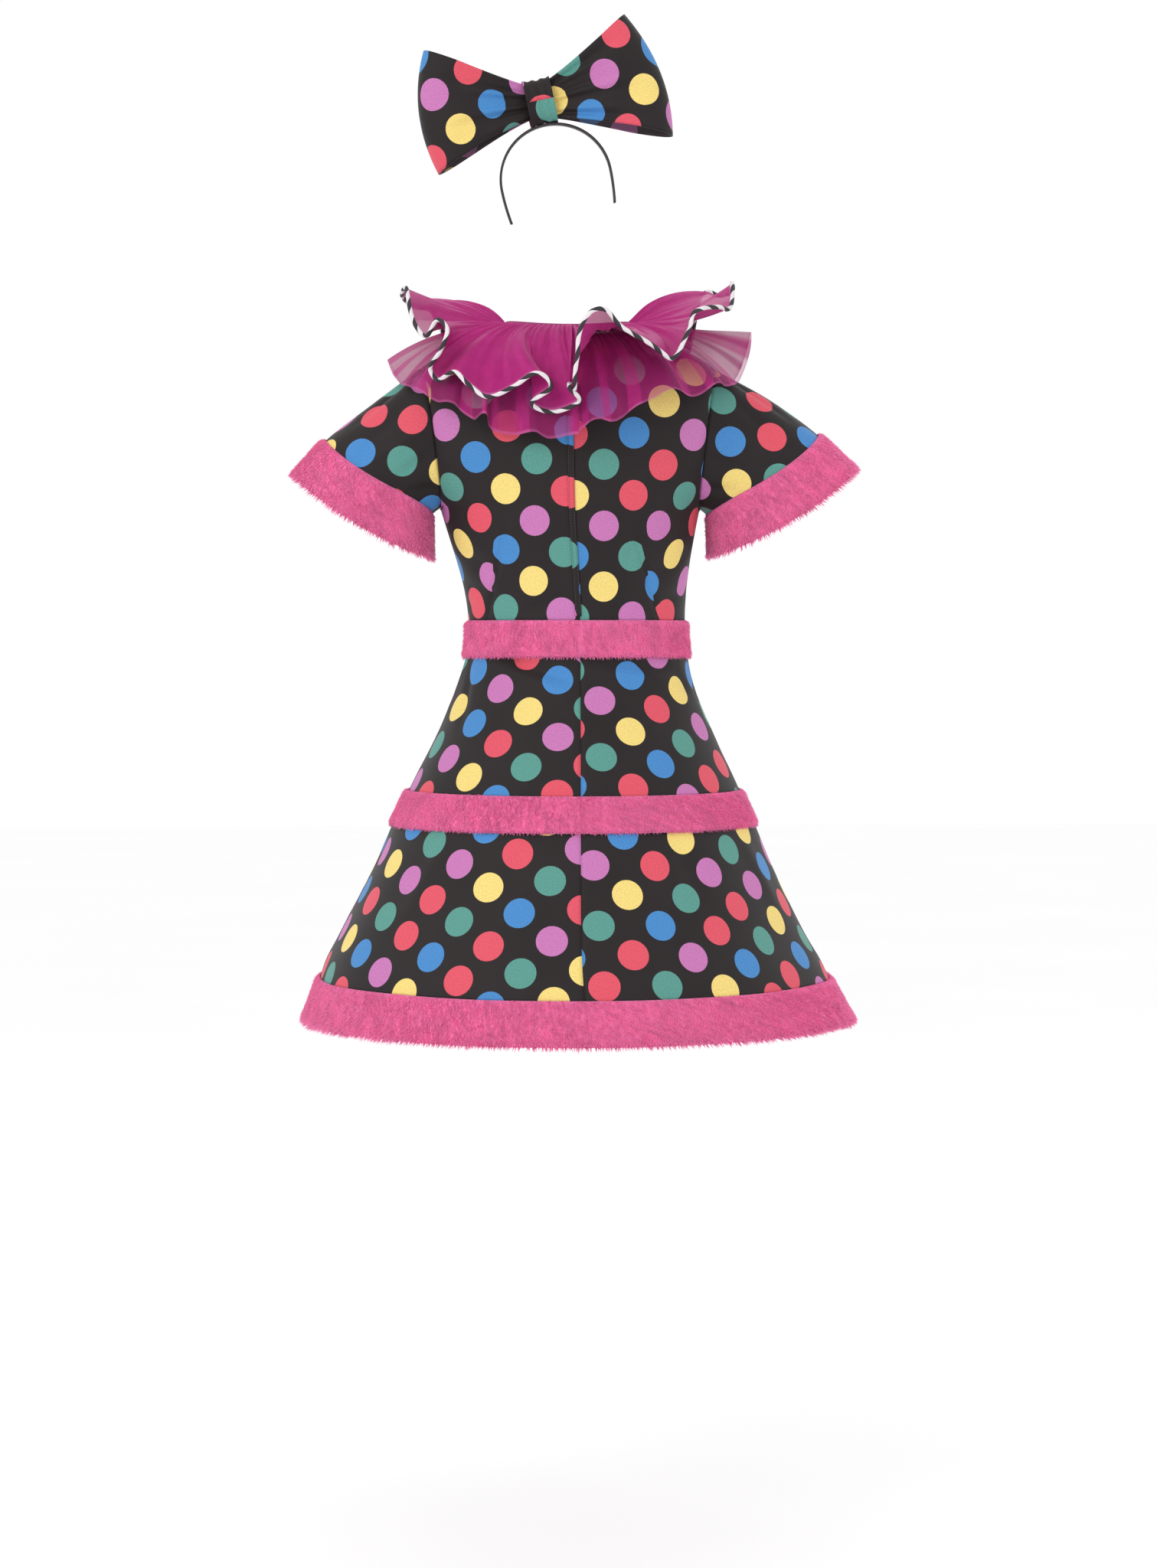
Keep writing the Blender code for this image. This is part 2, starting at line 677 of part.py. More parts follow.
def make_bow(print_cloth, band):
    for name, *shape in LOOPS:
        surface = loop_surface(*shape)
        rows = np.linspace(0, 1, 5)
        wall(name, surface, np.linspace(0, 1, 21), rows, CLOTH, print_cloth, trims=(0, 0, 0, 0))
    around = np.radians(np.arange(0, 360, 22.5))
    wall("bow_knot", knot_surface, around, np.linspace(0, 1, 5), CLOTH, print_cloth, closed=True,
         trims=(0, 0, 0, 0))
    tilt = math.radians(HEADBAND_TILT)
    below = KNOT_HALF_HEIGHT + SEAM
    seat = np.array(KNOT_CENTRE) - below * np.array([math.sin(tilt), 0, math.cos(tilt)])
    sections = []
    half = HEADBAND_RADIUS * math.radians(90) + HEADBAND_LEG
    for distance in np.linspace(-half, half, 29):
        turn = np.clip(distance / HEADBAND_RADIUS, -math.radians(90), math.radians(90))
        leg = abs(distance) - HEADBAND_RADIUS * math.radians(90)
        side = math.copysign(1, distance)
        x, z = HEADBAND_RADIUS * math.sin(turn), HEADBAND_RADIUS * (math.cos(turn) - 1)
        lean = 0.0
        if leg > 0:
            lean = math.radians(HEADBAND_LEG_TURN) * leg / HEADBAND_LEG
            x -= side * leg * math.sin(lean) / 2
            z -= leg
        out = np.array([math.sin(turn), 0, math.cos(turn)])
        section = []
        for across, depth in ((-1, 0), (1, 0), (1, -1), (-1, -1)):
            point = np.array([x, across * HEADBAND_WIDTH / 2, z]) + out * depth * HEADBAND_THICKNESS
            turned = (point[0] * math.cos(tilt) + point[2] * math.sin(tilt), point[1],
                      point[2] * math.cos(tilt) - point[0] * math.sin(tilt))
            section.append(seat + np.array(turned))
        sections.append(section)
    sweep("headband", sections, band)


def main():
    for old in list(bpy.data.objects):
        bpy.data.objects.remove(old)
    print_cloth = material("black dotted cloth", "2B2527", 0.6)
    fur = material("pink fur", "E4579A", 0.9)
    organza = material("fuchsia organza", "B0357F", 0.5)
    cord = material("striped cord", "8A8388", 0.6)
    band = material("dark band", "2B2126", 0.5)
    make_dress(print_cloth, fur)
    make_zip_lap(print_cloth)
    make_collar(organza, cord, organza)
    make_bow(print_cloth, band)


main()
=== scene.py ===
# %% [markdown]
# # A clown costume: dotted dress, ruffle collar and hair bow
#
# The dress is sewn from black polyester printed with dots, with bands of short pink plush, two ruffles of
# organza around the neck and a zip under a lap down the back. A bow of the same cloth sits on a headband.
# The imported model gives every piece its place. Each soft piece is built again here as the thin cloth it
# really is, finer than the solid that it stands for, and each finish is a material made from nodes.
# Sizes are in millimetres and degrees, +X is the wearer's left, -Y the front and +Z up.

# %% Load the frame
import json
import math
from functools import partial

import bpy
import numpy as np
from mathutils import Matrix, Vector

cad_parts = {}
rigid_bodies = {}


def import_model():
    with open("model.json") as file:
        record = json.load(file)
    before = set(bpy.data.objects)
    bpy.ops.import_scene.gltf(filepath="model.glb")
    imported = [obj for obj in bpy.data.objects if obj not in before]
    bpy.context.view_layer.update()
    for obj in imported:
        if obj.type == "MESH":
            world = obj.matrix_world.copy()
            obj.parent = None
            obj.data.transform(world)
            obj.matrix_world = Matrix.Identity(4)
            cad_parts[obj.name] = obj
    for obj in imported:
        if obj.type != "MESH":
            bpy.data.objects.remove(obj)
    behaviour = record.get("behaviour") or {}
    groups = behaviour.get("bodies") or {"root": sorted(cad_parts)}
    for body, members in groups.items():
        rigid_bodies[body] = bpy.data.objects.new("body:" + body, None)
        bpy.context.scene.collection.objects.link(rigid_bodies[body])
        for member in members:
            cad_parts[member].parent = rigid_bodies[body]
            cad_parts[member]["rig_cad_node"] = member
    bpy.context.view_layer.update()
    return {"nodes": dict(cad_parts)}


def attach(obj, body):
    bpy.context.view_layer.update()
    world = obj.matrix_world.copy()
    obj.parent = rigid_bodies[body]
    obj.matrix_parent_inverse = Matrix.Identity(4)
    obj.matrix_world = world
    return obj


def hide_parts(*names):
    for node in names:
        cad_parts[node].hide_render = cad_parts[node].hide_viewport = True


for old in list(bpy.data.objects):
    bpy.data.objects.remove(old)
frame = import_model()
MM = 0.001
print("CAD nodes:", len(frame["nodes"]))

# %% [markdown]
# ## Tables of the garment
#
# A dressmaker drapes a body block first and then draws the pieces on it. The block here is a few short
# tables, read along smooth curves: how wide and deep the dress is at each height, where the neck and the
# armholes lie, and how each sleeve hangs. Every panel below is a patch of these surfaces, so neighbours
# meet at their seams without any fitting.

# %% Body block
SEAM = 0.34            # gap between two pieces that are sewn together
BODY = np.array([
    # height, half width, depth of the back, depth of the front
    (-829, 332, 314, 306),
    (-782, 311, 292, 284),
    (-764, 304, 284, 276),
    (-731, 286, 268, 259),
    (-687, 264, 247, 237),
    (-639, 241, 225, 213),
    (-592, 221, 206, 191),
    (-553, 203, 187, 171),
    (-540, 197, 181, 164),
    (-497, 176, 158, 141),
    (-452, 156, 134, 119),
    (-420, 144, 119, 107),
    (-387, 136, 108, 100),
    (-346, 133, 104, 98),
    (-310, 136, 103, 105),
    (-277, 142, 104, 114),
    (-240, 151, 108, 121),
    (-208, 159, 110, 118),
], float)
HEM, HEM_BAND_TOP = -829, -782
MIDDLE_BAND_BOTTOM, MIDDLE_BAND_TOP = -592, -553
WAIST_BOTTOM, WAIST_TOP = -387, -346
UNDERARM = -208
LEAN = np.array([
    # height, centre across
    (-829, -2), (-770, 3), (-600, 3), (-450, 0), (-346, -1), (-208, 7), (0, 10),
], float)
FLUTES = np.array([
    # angle from the centre back, width, depth at the hem
    (24, 13, 5.0), (-11, 11, 3.5), (-42, 13, 4.5), (66, 14, 5.0), (-74, 12, 5.0), (104, 13, 4.0),
    (-110, 14, 5.0), (142, 13, 5.0), (-150, 12, 4.0), (178, 11, 5.0),
], float)
FLUTES_START, FLUTES_POWER = -400, 1.5         # height where they begin, and how fast they deepen


def smooth(table, column, at):
    """Reads one column of a table along a smooth curve through its rows."""
    knots, values = table[:, 0], table[:, column]
    slopes = np.gradient(values, knots)
    row = np.clip(np.searchsorted(knots, at) - 1, 0, len(knots) - 2)
    step = knots[row + 1] - knots[row]
    t = (at - knots[row]) / step
    start = (2 * t ** 3 - 3 * t ** 2 + 1) * values[row] + (t ** 3 - 2 * t ** 2 + t) * step * slopes[row]
    end = (3 * t ** 2 - 2 * t ** 3) * values[row + 1] + (t ** 3 - t ** 2) * step * slopes[row + 1]
    return start + end


def bumps(table, angle):
    """Sum of the soft bumps of a table (angle, width, depth) at an angle in radians."""
    total = np.zeros_like(angle)
    for centre, width, depth in table:
        away = (np.degrees(angle) - centre + 180) % 360 - 180
        total = total + depth * np.exp(-(away / width) ** 2)
    return total


def body(angle, height):
    """Outer face of the skirt and the lower bodice, at an angle from the centre back."""
    reach = np.clip((FLUTES_START - height) / (FLUTES_START - HEM), 0, None) ** FLUTES_POWER
    flute = bumps(FLUTES, angle) * reach
    depth = np.where(np.cos(angle) > 0, smooth(BODY, 2, height), smooth(BODY, 3, height))
    x = smooth(LEAN, 1, height) + (smooth(BODY, 1, height) + flute) * np.sin(angle)
    y = (depth + flute) * np.cos(angle)
    return np.stack([x, y, height + 0 * angle], -1)


def skirt(angle, down):
    """The same face with the height counted downwards."""
    return body(angle, -down)


print("body block:", len(BODY), "heights, waist", BODY[13, 1:], "hem", BODY[0, 1:])

# %% [markdown]
# ## Bodice
#
# Above the underarm the block closes over the shoulders. Each quarter runs from a straight line at the
# underarm to the neckline and the shoulder seam, and bulges between them as cloth does over a back or a
# chest. One dart in each back takes in the waist.

# %% Bodice surfaces
NECK_HALF_WIDTH, NECK_BACK, NECK_FRONT = 76, 66, 72
NECK_RISE = 8          # the neckline's sides stand above the nape
NECK_DROP = 48         # and its front lies below the nape
NECK_SHARE = 5 / 12    # share of a quarter's top edge that runs around the neck
SHOULDER_TIP = (183, -40)
ARMHOLE_MIDDLE, ARMHOLE_HALF_HEIGHT = -124, 84
ARMHOLE_SCOOP = 6
ARMHOLE_BACK, ARMHOLE_FRONT = 66, 60
ARMHOLE_ROUNDNESS = 0.9
SHOULDER_TURN, SHOULDER_TIP_TURN = 1.6, 3      # how late the cloth turns over at the neck, and more at the tip
CENTRE_BACK = np.array([
    # share of the way from the underarm's level up to the nape, depth
    (0, 110), (0.3, 109), (0.6, 98), (0.85, 79), (1, 66),
], float)
CENTRE_FRONT = np.array([
    (0, 118), (0.3, 113), (0.6, 102), (0.85, 84), (1, 72),
], float)
DART_AT = 13 / 24      # share of a back quarter, from the centre back
DART_TOP = -236


def neckline(angle):
    """The cut edge around the neck, at an angle from the centre back."""
    across, along = np.sin(angle), np.cos(angle)
    back = along > 0
    x = smooth(LEAN, 1, 0.0) + NECK_HALF_WIDTH * across
    y = along * np.where(back, NECK_BACK, NECK_FRONT)
    z = NECK_RISE - along ** 2 * np.where(back, NECK_RISE, NECK_RISE + NECK_DROP)
    return np.stack([x, y, z], -1)


def shoulder_line(share, back):
    """Top edge of one bodice quarter: the neckline, then the shoulder seam out to its tip."""
    around = np.radians(90) * np.clip(share / NECK_SHARE, None, 1)
    neck = neckline(np.where(back, around, np.pi - around))
    along = np.clip((share - NECK_SHARE) / (1 - NECK_SHARE), 0, None)[..., None]
    tip = np.array([SHOULDER_TIP[0] + smooth(LEAN, 1, -40.0), 0, SHOULDER_TIP[1]])
    return neck + (tip - neck) * along


def upper_bodice(share, rise, back):
    """One bodice quarter above the underarm. rise is 0 at the underarm and 1 at the shoulder."""
    table = CENTRE_BACK if back else CENTRE_FRONT
    side = 1 if back else -1
    lean = smooth(LEAN, 1, UNDERARM * (1 - rise))
    top_centre = 0 if back else -NECK_DROP
    turn = np.pi * rise
    centre_depth = smooth(table, 1, rise)
    centre_height = UNDERARM + (top_centre - UNDERARM) * rise
    widening = rise ** 2 * (3 - 2 * rise)
    edge_x = BODY[-1, 1] + (SHOULDER_TIP[0] - BODY[-1, 1]) * widening - ARMHOLE_SCOOP * np.sin(turn)
    edge_depth = np.abs(np.sin(turn)) ** ARMHOLE_ROUNDNESS * (ARMHOLE_BACK if back else ARMHOLE_FRONT)
    edge_height = ARMHOLE_MIDDLE - ARMHOLE_HALF_HEIGHT * np.cos(turn)
    across = share * np.pi / 2
    x = edge_x * np.sin(across)
    y = edge_depth + (centre_depth - edge_depth) * np.cos(across)
    z = centre_height + (edge_height - centre_height) * share ** 2
    top = shoulder_line(share, back)
    blend = rise ** (SHOULDER_TURN + SHOULDER_TIP_TURN * share ** 3) * np.pi / 2
    drop, lift = np.cos(blend), np.sin(blend)
    x = x + (top[..., 0] - smooth(LEAN, 1, 0.0) - x) * (1 - drop)
    y = side * (side * top[..., 1] + (y - side * top[..., 1]) * drop)
    z = z + (top[..., 2] - z) * lift
    return np.stack([x, y, z], -1), lean


def bodice(back):
    """Surface of the bodice's back or front.

    u runs around the body from -90 to 90 degrees of its half, v down from the shoulder (0) through the
    underarm (1) to the waist (2).
    """
    def surface(u, v):
        share = u / (np.pi / 2) * (1 if back else -1)
        sign = np.where(share < 0, -1.0, 1.0)
        share = np.abs(share)
        upper, lean = upper_bodice(share, np.clip(1 - v, 0, 1), back)
        upper[..., 0] = upper[..., 0] * sign + lean
        angle = share * np.pi / 2
        angle = sign * np.where(back, angle, np.pi - angle)
        height = UNDERARM + (WAIST_TOP - UNDERARM) * np.clip(v - 1, 0, None)
        return np.where((v < 1)[..., None], upper, body(angle, height))
    return surface


# %% [markdown]
# ## Sleeves
#
# A short wide sleeve is a tube that starts on the armhole's edge and opens towards the cuff. Each ring is
# set by the point at its top, the point at its underarm and half its depth.

# %% Sleeve surfaces
SLEEVE_LEFT = np.array([
    # share of the length, top across, top height, underarm across, underarm height, half depth
    (0, 190, -40, 166, -208, 63),
    (0.36, 248, -82, 173, -213, 64),
    (0.72, 305, -126, 178, -220, 66),
    (1, 341, -165, 178, -265, 71),
], float)
SLEEVE_RIGHT = np.array([
    (0, -176, -40, -152, -208, 63),
    (0.36, -238, -75, -159, -214, 64),
    (0.72, -297, -118, -164, -222, 66),
    (1, -339, -157, -166, -262, 71),
], float)
CUFF_START = 0.72
ARMHOLE_GAP = 0.8
SLEEVE_SAG = 13                # the back of a sleeve hangs this much further out along its own direction
SLEEVE_DIRECTION = (0.58, -0.81)
SLEEVE_WAVES = np.array([
    # angle from the top of the sleeve, width, depth at the cuff
    (38, 22, 4.0),
    (92, 20, 3.0),
    (140, 20, 3.5),
    (222, 22, 3.5),
    (300, 24, 4.0),
], float)


def sleeve(side):
    """Surface of a sleeve: u around it from its top, v from the armhole (0) to its edge (1)."""
    table = SLEEVE_LEFT if side > 0 else SLEEVE_RIGHT
    back, front = bodice(True), bodice(False)

    def ring(angle, v):
        top_x, top_z, low_x, low_z, depth = (smooth(table, column, v) for column in range(1, 6))
        wave = bumps(SLEEVE_WAVES, angle % (2 * np.pi)) * np.clip(v, 0, None) ** 1.5
        upright, outward = np.cos(angle), np.sin(angle)
        half_x, half_z = (top_x - low_x) / 2, (top_z - low_z) / 2
        half = np.hypot(half_x, half_z)
        sag = SLEEVE_SAG * np.clip(outward, 0, 1) ** 1.5 * np.clip(v / CUFF_START, 0, 1) ** 2
        x = (top_x + low_x) / 2 + half_x * upright * (1 + wave / half) + side * SLEEVE_DIRECTION[0] * sag
        z = (top_z + low_z) / 2 + half_z * upright * (1 + wave / half) + SLEEVE_DIRECTION[1] * sag
        return np.stack([x, (depth + wave) * outward, z], -1)

    def armhole(angle):
        angle = angle % (2 * np.pi)
        behind = angle <= np.pi
        down = np.where(behind, angle, 2 * np.pi - angle) / np.pi
        edge = np.full_like(down, side * np.pi / 2)
        return np.where(behind[..., None], back(edge, down), front(-edge, down))

    def surface(u, v):
        angle = -side * u
        fade = np.clip(1 - v / CUFF_START, 0, 1)[..., None] ** 2
        start = armhole(angle) + np.array([side * ARMHOLE_GAP, 0, 0])
        return ring(angle, v) + (start - ring(angle, 0 * v)) * fade
    return surface


print("sleeves reach", SLEEVE_LEFT[-1, 1], "and", SLEEVE_RIGHT[-1, 1])

# %% [markdown]
# ## Ruffle collar
#
# A ruffle is a ring of organza that is far longer at its edge than at the neck, so it stands in folds. Each
# row of these tables is one fold line: where it starts, which way it points and how high it stands. A
# smooth curve through the rows gives the cloth between them.

# %% Collar tables
COLLAR_FOLDS_UPPER = np.array([
    # angle of the fold's root, angle that it faces, lift above the horizontal
    (1.2, 0, -38), (8, -11, -47), (16, 2, -54), (23, 12, -48), (29, -6, -38), (34, 0, -30), (39, 12, -38),
    (45, 28, -44), (51, 36, -36), (56, 40, -29), (61, 54, -33), (66, 54, -26), (72, 41, -19), (77, 33, -9),
    (82, 38, -3), (87, 46, -10), (92, 54, -3), (97, 64, 12), (102, 74, 19), (109, 94, 18), (117, 112, 18),
    (126, 128, 19), (135, 142, 0), (146, 150, -24), (157, 156, -14), (168, 170, -38), (179, 181, -26),
    (189, 190, -40), (200, 200, -20), (211, 212, -36), (221, 222, -26), (229, 229, 4), (236, 237, 24),
    (243, 244, 27), (250, 252, 22), (258, 268, 19), (265, 284, 21), (272, 300, 6), (279, 312, 5),
    (286, 328, 1), (293, 330, -9), (303, 335, -22), (313, 346, -14), (321, 355, -8), (330, 360, 1),
    (338, 364, 1), (345, 366, -10), (351, 364, -22), (358.8, 360.2, -35),
], float)
COLLAR_FOLDS_LOWER = np.array([
    (1.2, -1, -62), (12, 10, -66), (20, 14, -60), (28, 26, -63), (36, 38, -60), (43, 30, -48),
    (50, 38, -52), (58, 42, -42), (65, 52, -41), (72, 58, -35), (79, 66, -32), (86, 80, -27), (93, 88, -18),
    (100, 94, -15), (109, 106, -26), (119, 126, -36), (129, 130, -30), (140, 148, -46), (151, 152, -38),
    (162, 170, -52), (174, 173, -44), (186, 190, -55), (197, 197, -42), (208, 212, -54), (220, 220, -48),
    (231, 236, -44), (242, 242, -30), (253, 258, -22), (263, 270, -2), (272, 272, -12), (281, 279, -27),
    (289, 292, -30), (297, 304, -30), (305, 312, -36), (313, 320, -36), (321, 330, -34), (330, 338, -42),
    (338, 344, -50), (345, 344, -52), (351, 352, -51), (358.8, 359, -61),
], float)
WIDTH_UPPER, WIDTH_LOWER = 132, 148
ROOT_UPPER, ROOT_LOWER = 8.6, 4.6      # heights of the roots above the neckline
ROOT_OUT = 1.7
ROOT_LIFTS = np.array([
    # angle from the centre back, lift of the upper ruffle at its root
    (0, -24), (45, -13), (75, -4), (90, 2), (105, 30), (120, 64), (135, 58), (150, 22), (165, -10),
    (180, -24),
], float)
RISE_UPPER, RISE_LOWER = 1.0, 0.35
BINDING_HEIGHT = 11
PIPING_RADIUS = 2.7


def collar(folds, width, root_height, rise):
    """Surface of a ruffle: u counts its fold lines, v runs from the root (0) to the edge (1).

    rise is the share of the root's upward lift that this ruffle takes.
    """
    rows = np.column_stack([np.arange(len(folds)), folds])

    def surface(u, v):
        angle = smooth(rows, 1, u)
        root_angle = np.radians(angle)
        facing = np.radians(angle + (smooth(rows, 2, u) - angle) * v)
        root_lift = smooth(ROOT_LIFTS, 1, 180 - np.abs(180 - angle))
        root_lift = np.where(root_lift > 0, root_lift * rise, root_lift)
        lift = np.radians(root_lift + (smooth(rows, 3, u) - root_lift) * v)
        outward = np.stack([np.sin(root_angle), np.cos(root_angle), 0 * root_angle], -1)
        root = neckline(root_angle) + outward * ROOT_OUT + np.array([0, 0, root_height])
        away = np.stack([np.sin(facing) * np.cos(lift), np.cos(facing) * np.cos(lift), np.sin(lift)], -1)
        return root + away * (width * v)[..., None]
    return surface


def binding(u, v):
    """Outer face of the upright neck binding: v runs down from its top (0) to the neckline (1)."""
    return neckline(u) + np.stack([0 * u, 0 * u, BINDING_HEIGHT * (1 - v)], -1)


print("fold lines:", len(COLLAR_FOLDS_UPPER), "and", len(COLLAR_FOLDS_LOWER))

# %% [markdown]
# ## Hair bow
#
# Each loop is a strip of cloth that leaves the back of the knot, runs out, turns over and comes back to the
# front of the knot, where it is pleated small enough to pass through.

# %% Bow surfaces
KNOT_CENTRE = (42, -60, 295)
KNOT_HALF_WIDTH, KNOT_HALF_DEPTH, KNOT_HALF_HEIGHT = 17, 16, 27
KNOT_FLARE, KNOT_SQUARENESS = 0.07, 0.75
LOOP_HALF_DEPTH, LOOP_BULGE = 26, 15
LOOP_ROOT, LOOP_ROOT_DEPTH = 4, 3.5    # distance of a loop's start from the knot's middle, out and back
LOOP_ROUNDNESS, LOOP_SPREAD = 0.8, 1.2
HEADBAND_TILT = 12


def loop_surface(side, axis_tilt, edge_tilt, length, root_half, edge_half):
    """Surface of one bow loop: u around it, from the knot's back over the outer edge to its front."""
    def surface(u, v):
        u = u if side > 0 else 1 - u
        out = np.abs(np.sin(np.pi * u)) ** LOOP_ROUNDNESS
        rise = 1 - 2 * v
        half_height = root_half + (edge_half - root_half) * out ** LOOP_SPREAD
        tilt = np.radians(axis_tilt + (edge_tilt - axis_tilt) * out)
        along = LOOP_ROOT + length * out + LOOP_BULGE * out ** 3 * (1 - rise ** 2)
        depth = LOOP_ROOT_DEPTH * np.cos(np.pi * u) + LOOP_HALF_DEPTH * np.sin(2 * np.pi * u)
        axis = np.radians(axis_tilt)
        x = along * np.cos(axis) - half_height * rise * np.sin(tilt)
        z = along * np.sin(axis) + half_height * rise * np.cos(tilt)
        return np.stack([KNOT_CENTRE[0] + side * x, KNOT_CENTRE[1] + depth, KNOT_CENTRE[2] + z], -1)
    return surface


def tilted(across, up):
    """A point of the knot or the headband, turned as they sit on the head."""
    turn = math.radians(HEADBAND_TILT)
    return across * math.cos(turn) + up * math.sin(turn), up * math.cos(turn) - across * math.sin(turn)


def knot_surface(u, v):
    """Outer face of the knot's wrap: u around it, v across it along the bow."""
    pinch = 1 + KNOT_FLARE * (2 * v - 1) ** 2
    y, z = (half * np.sign(way) * np.abs(way) ** KNOT_SQUARENESS * pinch
            for half, way in ((KNOT_HALF_DEPTH, np.cos(u)), (KNOT_HALF_HEIGHT, np.sin(u))))
    across, up = tilted(KNOT_HALF_WIDTH * (2 * v - 1), z)
    return np.stack([KNOT_CENTRE[0] + across, KNOT_CENTRE[1] + y, KNOT_CENTRE[2] + up], -1)


print("knot at", KNOT_CENTRE)

# %% [markdown]
# ## Helpers for meshes
#
# Every surface above is a function of two numbers. A lattice reads it at rows and columns and also gives
# the direction that points out of the cloth, and a mesh joins the points into four-cornered faces.

# %% Lattices and meshes
TANGENT_STEP = 1e-4    # a tangent is read this far to both sides of a point
TANGENT_INSET = 0.01   # and at least this share of the rows away from the first and the last row


def unit(vectors):
    return vectors / np.maximum(np.linalg.norm(vectors, axis=-1, keepdims=True), 1e-9)


def lattice(surface, columns, rows):
    """Points, tangents and outward normals of a surface at every row and column."""
    u, v = np.meshgrid(columns, rows)
    margin = TANGENT_INSET * (np.max(rows) - np.min(rows))
    inner = np.clip(v, np.min(rows) + margin, np.max(rows) - margin)
    points = surface(u, v)
    along = unit(surface(u + TANGENT_STEP, inner) - surface(u - TANGENT_STEP, inner))
    down = unit(surface(u, inner + TANGENT_STEP) - surface(u, inner - TANGENT_STEP))
    return points, along, down, unit(np.cross(along, down))


def run_along(points, axis=0):
    """Distance of each point from the first one, counted along one axis of a row or a lattice."""
    steps = np.diff(points, axis=axis, prepend=np.take(points, [0], axis))
    return np.linalg.norm(steps, axis=-1).cumsum(axis=axis)


def even_rows(surface, middle, start, end, step):
    """Rows of a surface, about step millimetres apart along its middle column."""
    fine = np.linspace(start, end, 400)
    run = run_along(surface(np.full_like(fine, middle), fine))
    count = max(2, round(run[-1] / step) + 1)
    return np.interp(np.linspace(0, run[-1], count), run, fine)


def show(made):
    bpy.context.scene.collection.objects.link(made)
    return made


def made_of(name, points, faces, edges=()):
    """An object made of points in millimetres, joined by faces or by loose edges."""
    mesh = bpy.data.meshes.new(name)
    mesh.from_pydata((np.reshape(points, (-1, 3)) * MM).tolist(), edges, faces)
    mesh.shade_smooth()
    return show(bpy.data.objects.new(name, mesh))


def grid_piece(name, points, closed=False):
    """A single layer of faces through rows and columns of points."""
    rows, columns = points.shape[:2]
    faces = []
    for row in range(rows - 1):
        for column in range(columns if closed else columns - 1):
            a, b = row * columns + column, row * columns + (column + 1) % columns
            faces.append((a, b, b + columns, a + columns))
    return made_of(name, points, faces)


def tube_piece(name, sections, closed=False):
    """A skin around a row of outlines that each have as many points."""
    count, size = np.shape(sections)[:2]
    faces = []
    for i in range(count if closed else count - 1):
        here, after = i * size, (i + 1) % count * size
        faces += [(here + j, after + j, after + (j + 1) % size, here + (j + 1) % size) for j in range(size)]
    if not closed:
        faces += [tuple(range(size)), tuple((count - 1) * size + j for j in reversed(range(size)))]
    return made_of(name, sections, faces)


def made_plain(piece):
    """Bakes the modifiers of a piece into its mesh and removes them."""
    evaluated = piece.evaluated_get(bpy.context.evaluated_depsgraph_get())
    baked = bpy.data.meshes.new_from_object(evaluated)
    piece.modifiers.clear()
    piece.data = baked
    return piece


def store(piece, name, values, kind="FLOAT"):
    """Keeps one value for each point of a piece as a named attribute."""
    layer = piece.data.attributes.new(name, kind, "POINT")
    layer.data.foreach_set("vector" if kind == "FLOAT_VECTOR" else "value", np.ravel(values).astype(float))


def read(table, key, width=1, kind=float):
    """One property of every row of a mesh's table."""
    values = np.zeros(len(table) * width, kind)
    table.foreach_get(key, values)
    return values.reshape(-1, width) if width > 1 else values


def give(piece, *looks):
    """Puts materials into a piece's slots, in order."""
    piece.data.materials.clear()
    for look in looks:
        piece.data.materials.append(look)


def area_of(piece):
    """Area of a piece's faces in square metres."""
    return sum(face.area for face in piece.data.polygons)


# %% [markdown]
# ## Colours and nodes
#
# Hex codes are display colours. Shaders count in linear light, so one function turns them. Another adds a
# node with its settings and links in one call, and short names stand for the nodes that come back often,
# which keeps every material below short enough to read.

# %% Material helpers
def linear(code):
    channels = [int(code[i:i + 2], 16) / 255 for i in (1, 3, 5)]
    turned = [c / 12.92 if c <= 0.04045 else ((c + 0.055) / 1.055) ** 2.4 for c in channels]
    return (*turned, 1.0)


def plug(tree, socket, value):
    """Links a socket to another one or sets its value. A text that starts with # is a display colour."""
    if isinstance(value, bpy.types.NodeSocket):
        tree.links.new(value, socket)
    else:
        coded = isinstance(value, str) and value.startswith("#")
        socket.default_value = linear(value) if coded else value


def add_node(tree, kind, settings=None, **links):
    """Adds a node. settings are its properties. links are input names (or i0, i1, ...) and their values."""
    node = tree.nodes.new(kind)
    for key, value in (settings or {}).items():
        setattr(node, key, value)
    for key, value in links.items():
        counted = key[0] == "i" and key[1:].isdigit()
        plug(tree, node.inputs[int(key[1:]) if counted else key.replace("_", " ")], value)
    return node


def new_material(name):
    made = bpy.data.materials.new(name)
    made.use_nodes = True
    return made, made.node_tree


def finished(look, bump=None, **inputs):
    """Sets the shader's inputs. bump is its height, its strength and its depth in metres."""
    tree = look.node_tree
    shader = tree.nodes["Principled BSDF"]
    if bump:
        height, strength, depth = bump
        relief = add_node(tree, "ShaderNodeBump", Strength=strength, Distance=depth, Height=height)
        tree.links.new(relief.outputs["Normal"], shader.inputs["Normal"])
    for key, value in inputs.items():
        plug(tree, shader.inputs[key.replace("_", " ")], value)
    return look


def calc(tree, operation, first, second=0.0, third=0.0):
    """Output of one Math node."""
    return add_node(tree, "ShaderNodeMath", {"operation": operation}, i0=first, i1=second, i2=third).outputs[0]


def mixed(tree, share, first, second, blend="MIX"):
    """Output of one colour Mix node."""
    node = add_node(tree, "ShaderNodeMix", {"data_type": "RGBA", "blend_type": blend},
                    i0=share, i6=first, i7=second)
    return node.outputs[2]


def ranged(tree, value, low, high, start=0.0, end=1.0):
    """A value that goes from start to end while the given one goes from low to high, and stays there."""
    return add_node(tree, "ShaderNodeMapRange", Value=value, From_Min=low, From_Max=high,
                    To_Min=start, To_Max=end).outputs["Result"]


